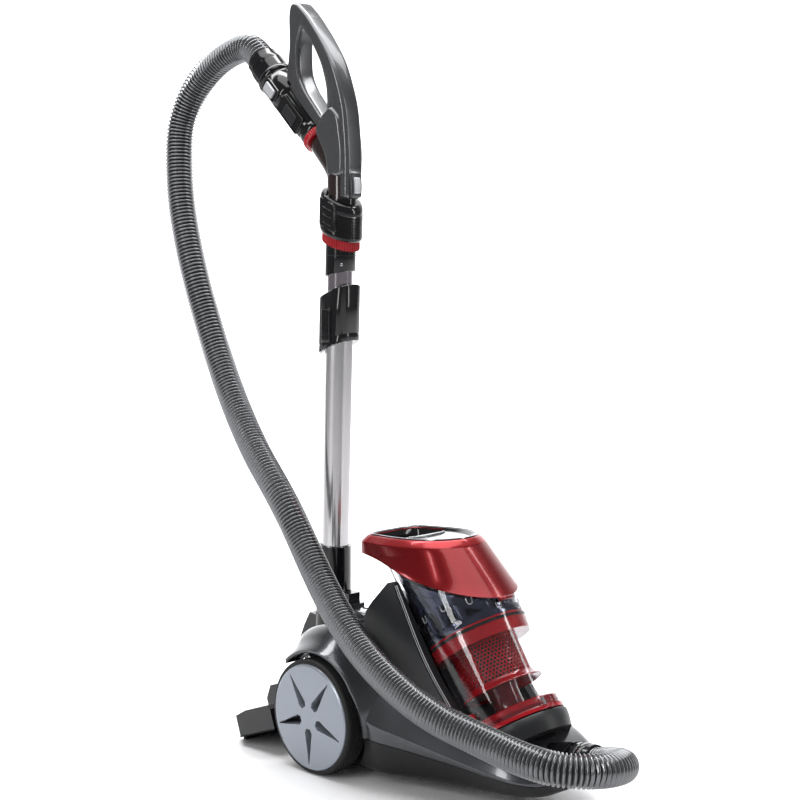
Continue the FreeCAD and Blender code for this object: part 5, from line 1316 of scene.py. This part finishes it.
# hose connector and cuff on the slanted pipe
CONNECTOR = [
    (17.2, 5.4), (20.6, 5.4), (21.5, 6.6), (21.5, 14), (20.9, 14.8), (20.9, 17), (21.5, 17.8), (21.5, 74),
    (22.5, 77),
    (24.4, 79.5), (25, 82), (25, 112), (24.3, 113), (24.3, 115.5), (25, 116.5), (26.2, 118), (26.6, 121),
    (26.2, 124),
    (25, 125.5), (25, 140), (24.2, 141), (24.2, 143), (24.6, 144), (23.4, 150), (22.8, CUFF_LEN),
    (19.0, CUFF_LEN),
]
add("hose_cuff", *lathed(CONNECTOR, 112), "handle_swivel", GLOSS, "black_gloss", ["handle_cuff"],
    place=PIPE, smooth=38)
flat_panel = rounded([(-13, 20), (13, 20), (13, 74), (-13, 74)], [3] * 4, 5)
add("connector_panel", *rounded_plate(flat_panel, 3.0, 1.6, 1.4), "handle_swivel", GLOSS, "black_gloss",
    place=PIPE @ Matrix.Translation((-20.6, 0, 0)), smooth=50)
raised = rounded([(-7.5, 32), (7.5, 32), (7.5, 60), (-7.5, 60)], [2] * 4, 5)
add("connector_pad", *rounded_plate(raised, 1.8, 1.2, 1.0), "handle_swivel", CHARCOAL,
    place=PIPE @ Matrix.Translation((-23.4, 0, 0)), smooth=50)
front_pad = rounded([(-9, 24), (9, 24), (9, 70), (-9, 70)], [3] * 4, 5)
add("connector_front", *rounded_plate(front_pad, 2.4, 1.6, 1.4), "handle_swivel", GLOSS, "black_gloss",
    place=PIPE @ Matrix.Rotation(math.radians(90), 4, "Z") @ Matrix.Translation((-20.4, 0, 0)), smooth=50)
nest = rounded([(-10, 80), (10, 80), (10, 113), (-10, 113)], [4] * 4, 5)
bezel = add("button_bezel", *rounded_plate(nest, 3.0, 2.0, 1.6), None, GLOSS, ridden=False,
            place=PIPE @ Matrix.Translation((-24.0, 0, 0)), smooth=None)
carved(bezel, [cutter(block(-36, -18, -7.2, 7.2, 85.4, 108.6), PIPE)])
smoothed(bezel, 40)
settle(bezel, "handle_swivel")
cuff_key = rounded([(-6.6, 86), (6.6, 86), (6.6, 108), (-6.6, 108)], [2] * 4, 5)
add("cuff_key", *rounded_plate(cuff_key, 4.2, 1.8, 2.0), "cuff_catch", LIGHT, "light_grey", ["cuff_button"],
    place=PIPE @ Matrix.Translation((-25.6, 0, 0)), smooth=50)

FRONT_CUFF = [
    (17.4, 0.5), (23.5, 0.5), (25.6, 1.6), (26, 4), (26, 12), (25.2, 13), (25.2, 15), (25.6, 16),
    (25.0, 21),
    (24.2, 22), (24.2, 23.5), (24.6, 24.5), (23.0, FRONT_CUFF_LEN), (19.0, FRONT_CUFF_LEN),
]
add("inlet_cuff", *lathed(FRONT_CUFF, 96), "front_swivel", GLOSS, "black_gloss", ["front_cuff"],
    place=INLET, smooth=38)

# ------------------------------------------------------------------ neck and floor head
for node, mat, bevel in [
    ("wand_neck", GLOSS, 1.6), ("head_body", GLOSS, 2.0), ("head_sole", DARK, 0.5),
    ("head_strips", TUFT_BLACK, 0),
    ("head_rocker", SATIN, 0.8),
]:
    dressed(node, mat, bevel)

# ------------------------------------------------------------------ stage
bpy.context.scene.view_settings.view_transform = "Standard"

# a white sweep: floor in front, curving up into a wall far behind the object
away = -back
away.z = 0
away.normalize()
across_view = Vector((away.y, -away.x, 0))
sweep = [(-5.0, 0.0), (-1.5, 0.0), (0.5, 0.0), (2.0, 0.0)]
SWEEP_R = 1.2
bend_turns = [math.pi / 2 * k / 12 for k in range(1, 13)]
sweep += [(2.0 + SWEEP_R * math.sin(a), SWEEP_R - SWEEP_R * math.cos(a)) for a in bend_turns]
sweep += [(3.2, 4.0)]
sweep_rings = [
    [tuple(away * run + across_view * side + Vector((0, 0, rise))) for run, rise in sweep] for side in (-6,
    -2, 2, 6)
]
floor = add("floor", *skin(sweep_rings, closed=False, caps=False), None, FLOOR, place=Matrix.Identity(4),
    ridden=False,
            smooth=60)


def softbox(name, where, towards, size, watts):
    lamp = bpy.data.lights.new(name, "AREA")
    lamp.shape = "RECTANGLE"
    lamp.size, lamp.size_y = size
    lamp.energy = watts
    lamp_object = bpy.data.objects.new(name, lamp)
    lamp_object.location = where
    lamp_object.rotation_euler = (Vector(towards) - Vector(where)).to_track_quat("-Z", "Y").to_euler()
    bpy.context.scene.collection.objects.link(lamp_object)


softbox("key_left", (-2.6, -0.2, 1.5), (0, 0, 0.4), (0.5, 2.2), 38)
softbox("fill_right", (1.5, -2.4, 1.4), (0, 0, 0.45), (0.3, 2.0), 20)
softbox("top", (0.0, -0.2, 3.0), (0, 0, 0.3), (2.6, 2.6), 84)
softbox("back", tuple(away * 0.9 + Vector((0, 0, 2.8))), tuple(away * 2.9 + Vector((0, 0, 1.0))),
    (4.0, 1.4), 230)

world = bpy.data.worlds.new("studio")
bpy.context.scene.world = world
world.use_nodes = True
world.node_tree.nodes["Background"].inputs["Color"].default_value = (1, 1, 1, 1)
world.node_tree.nodes["Background"].inputs["Strength"].default_value = 0.26
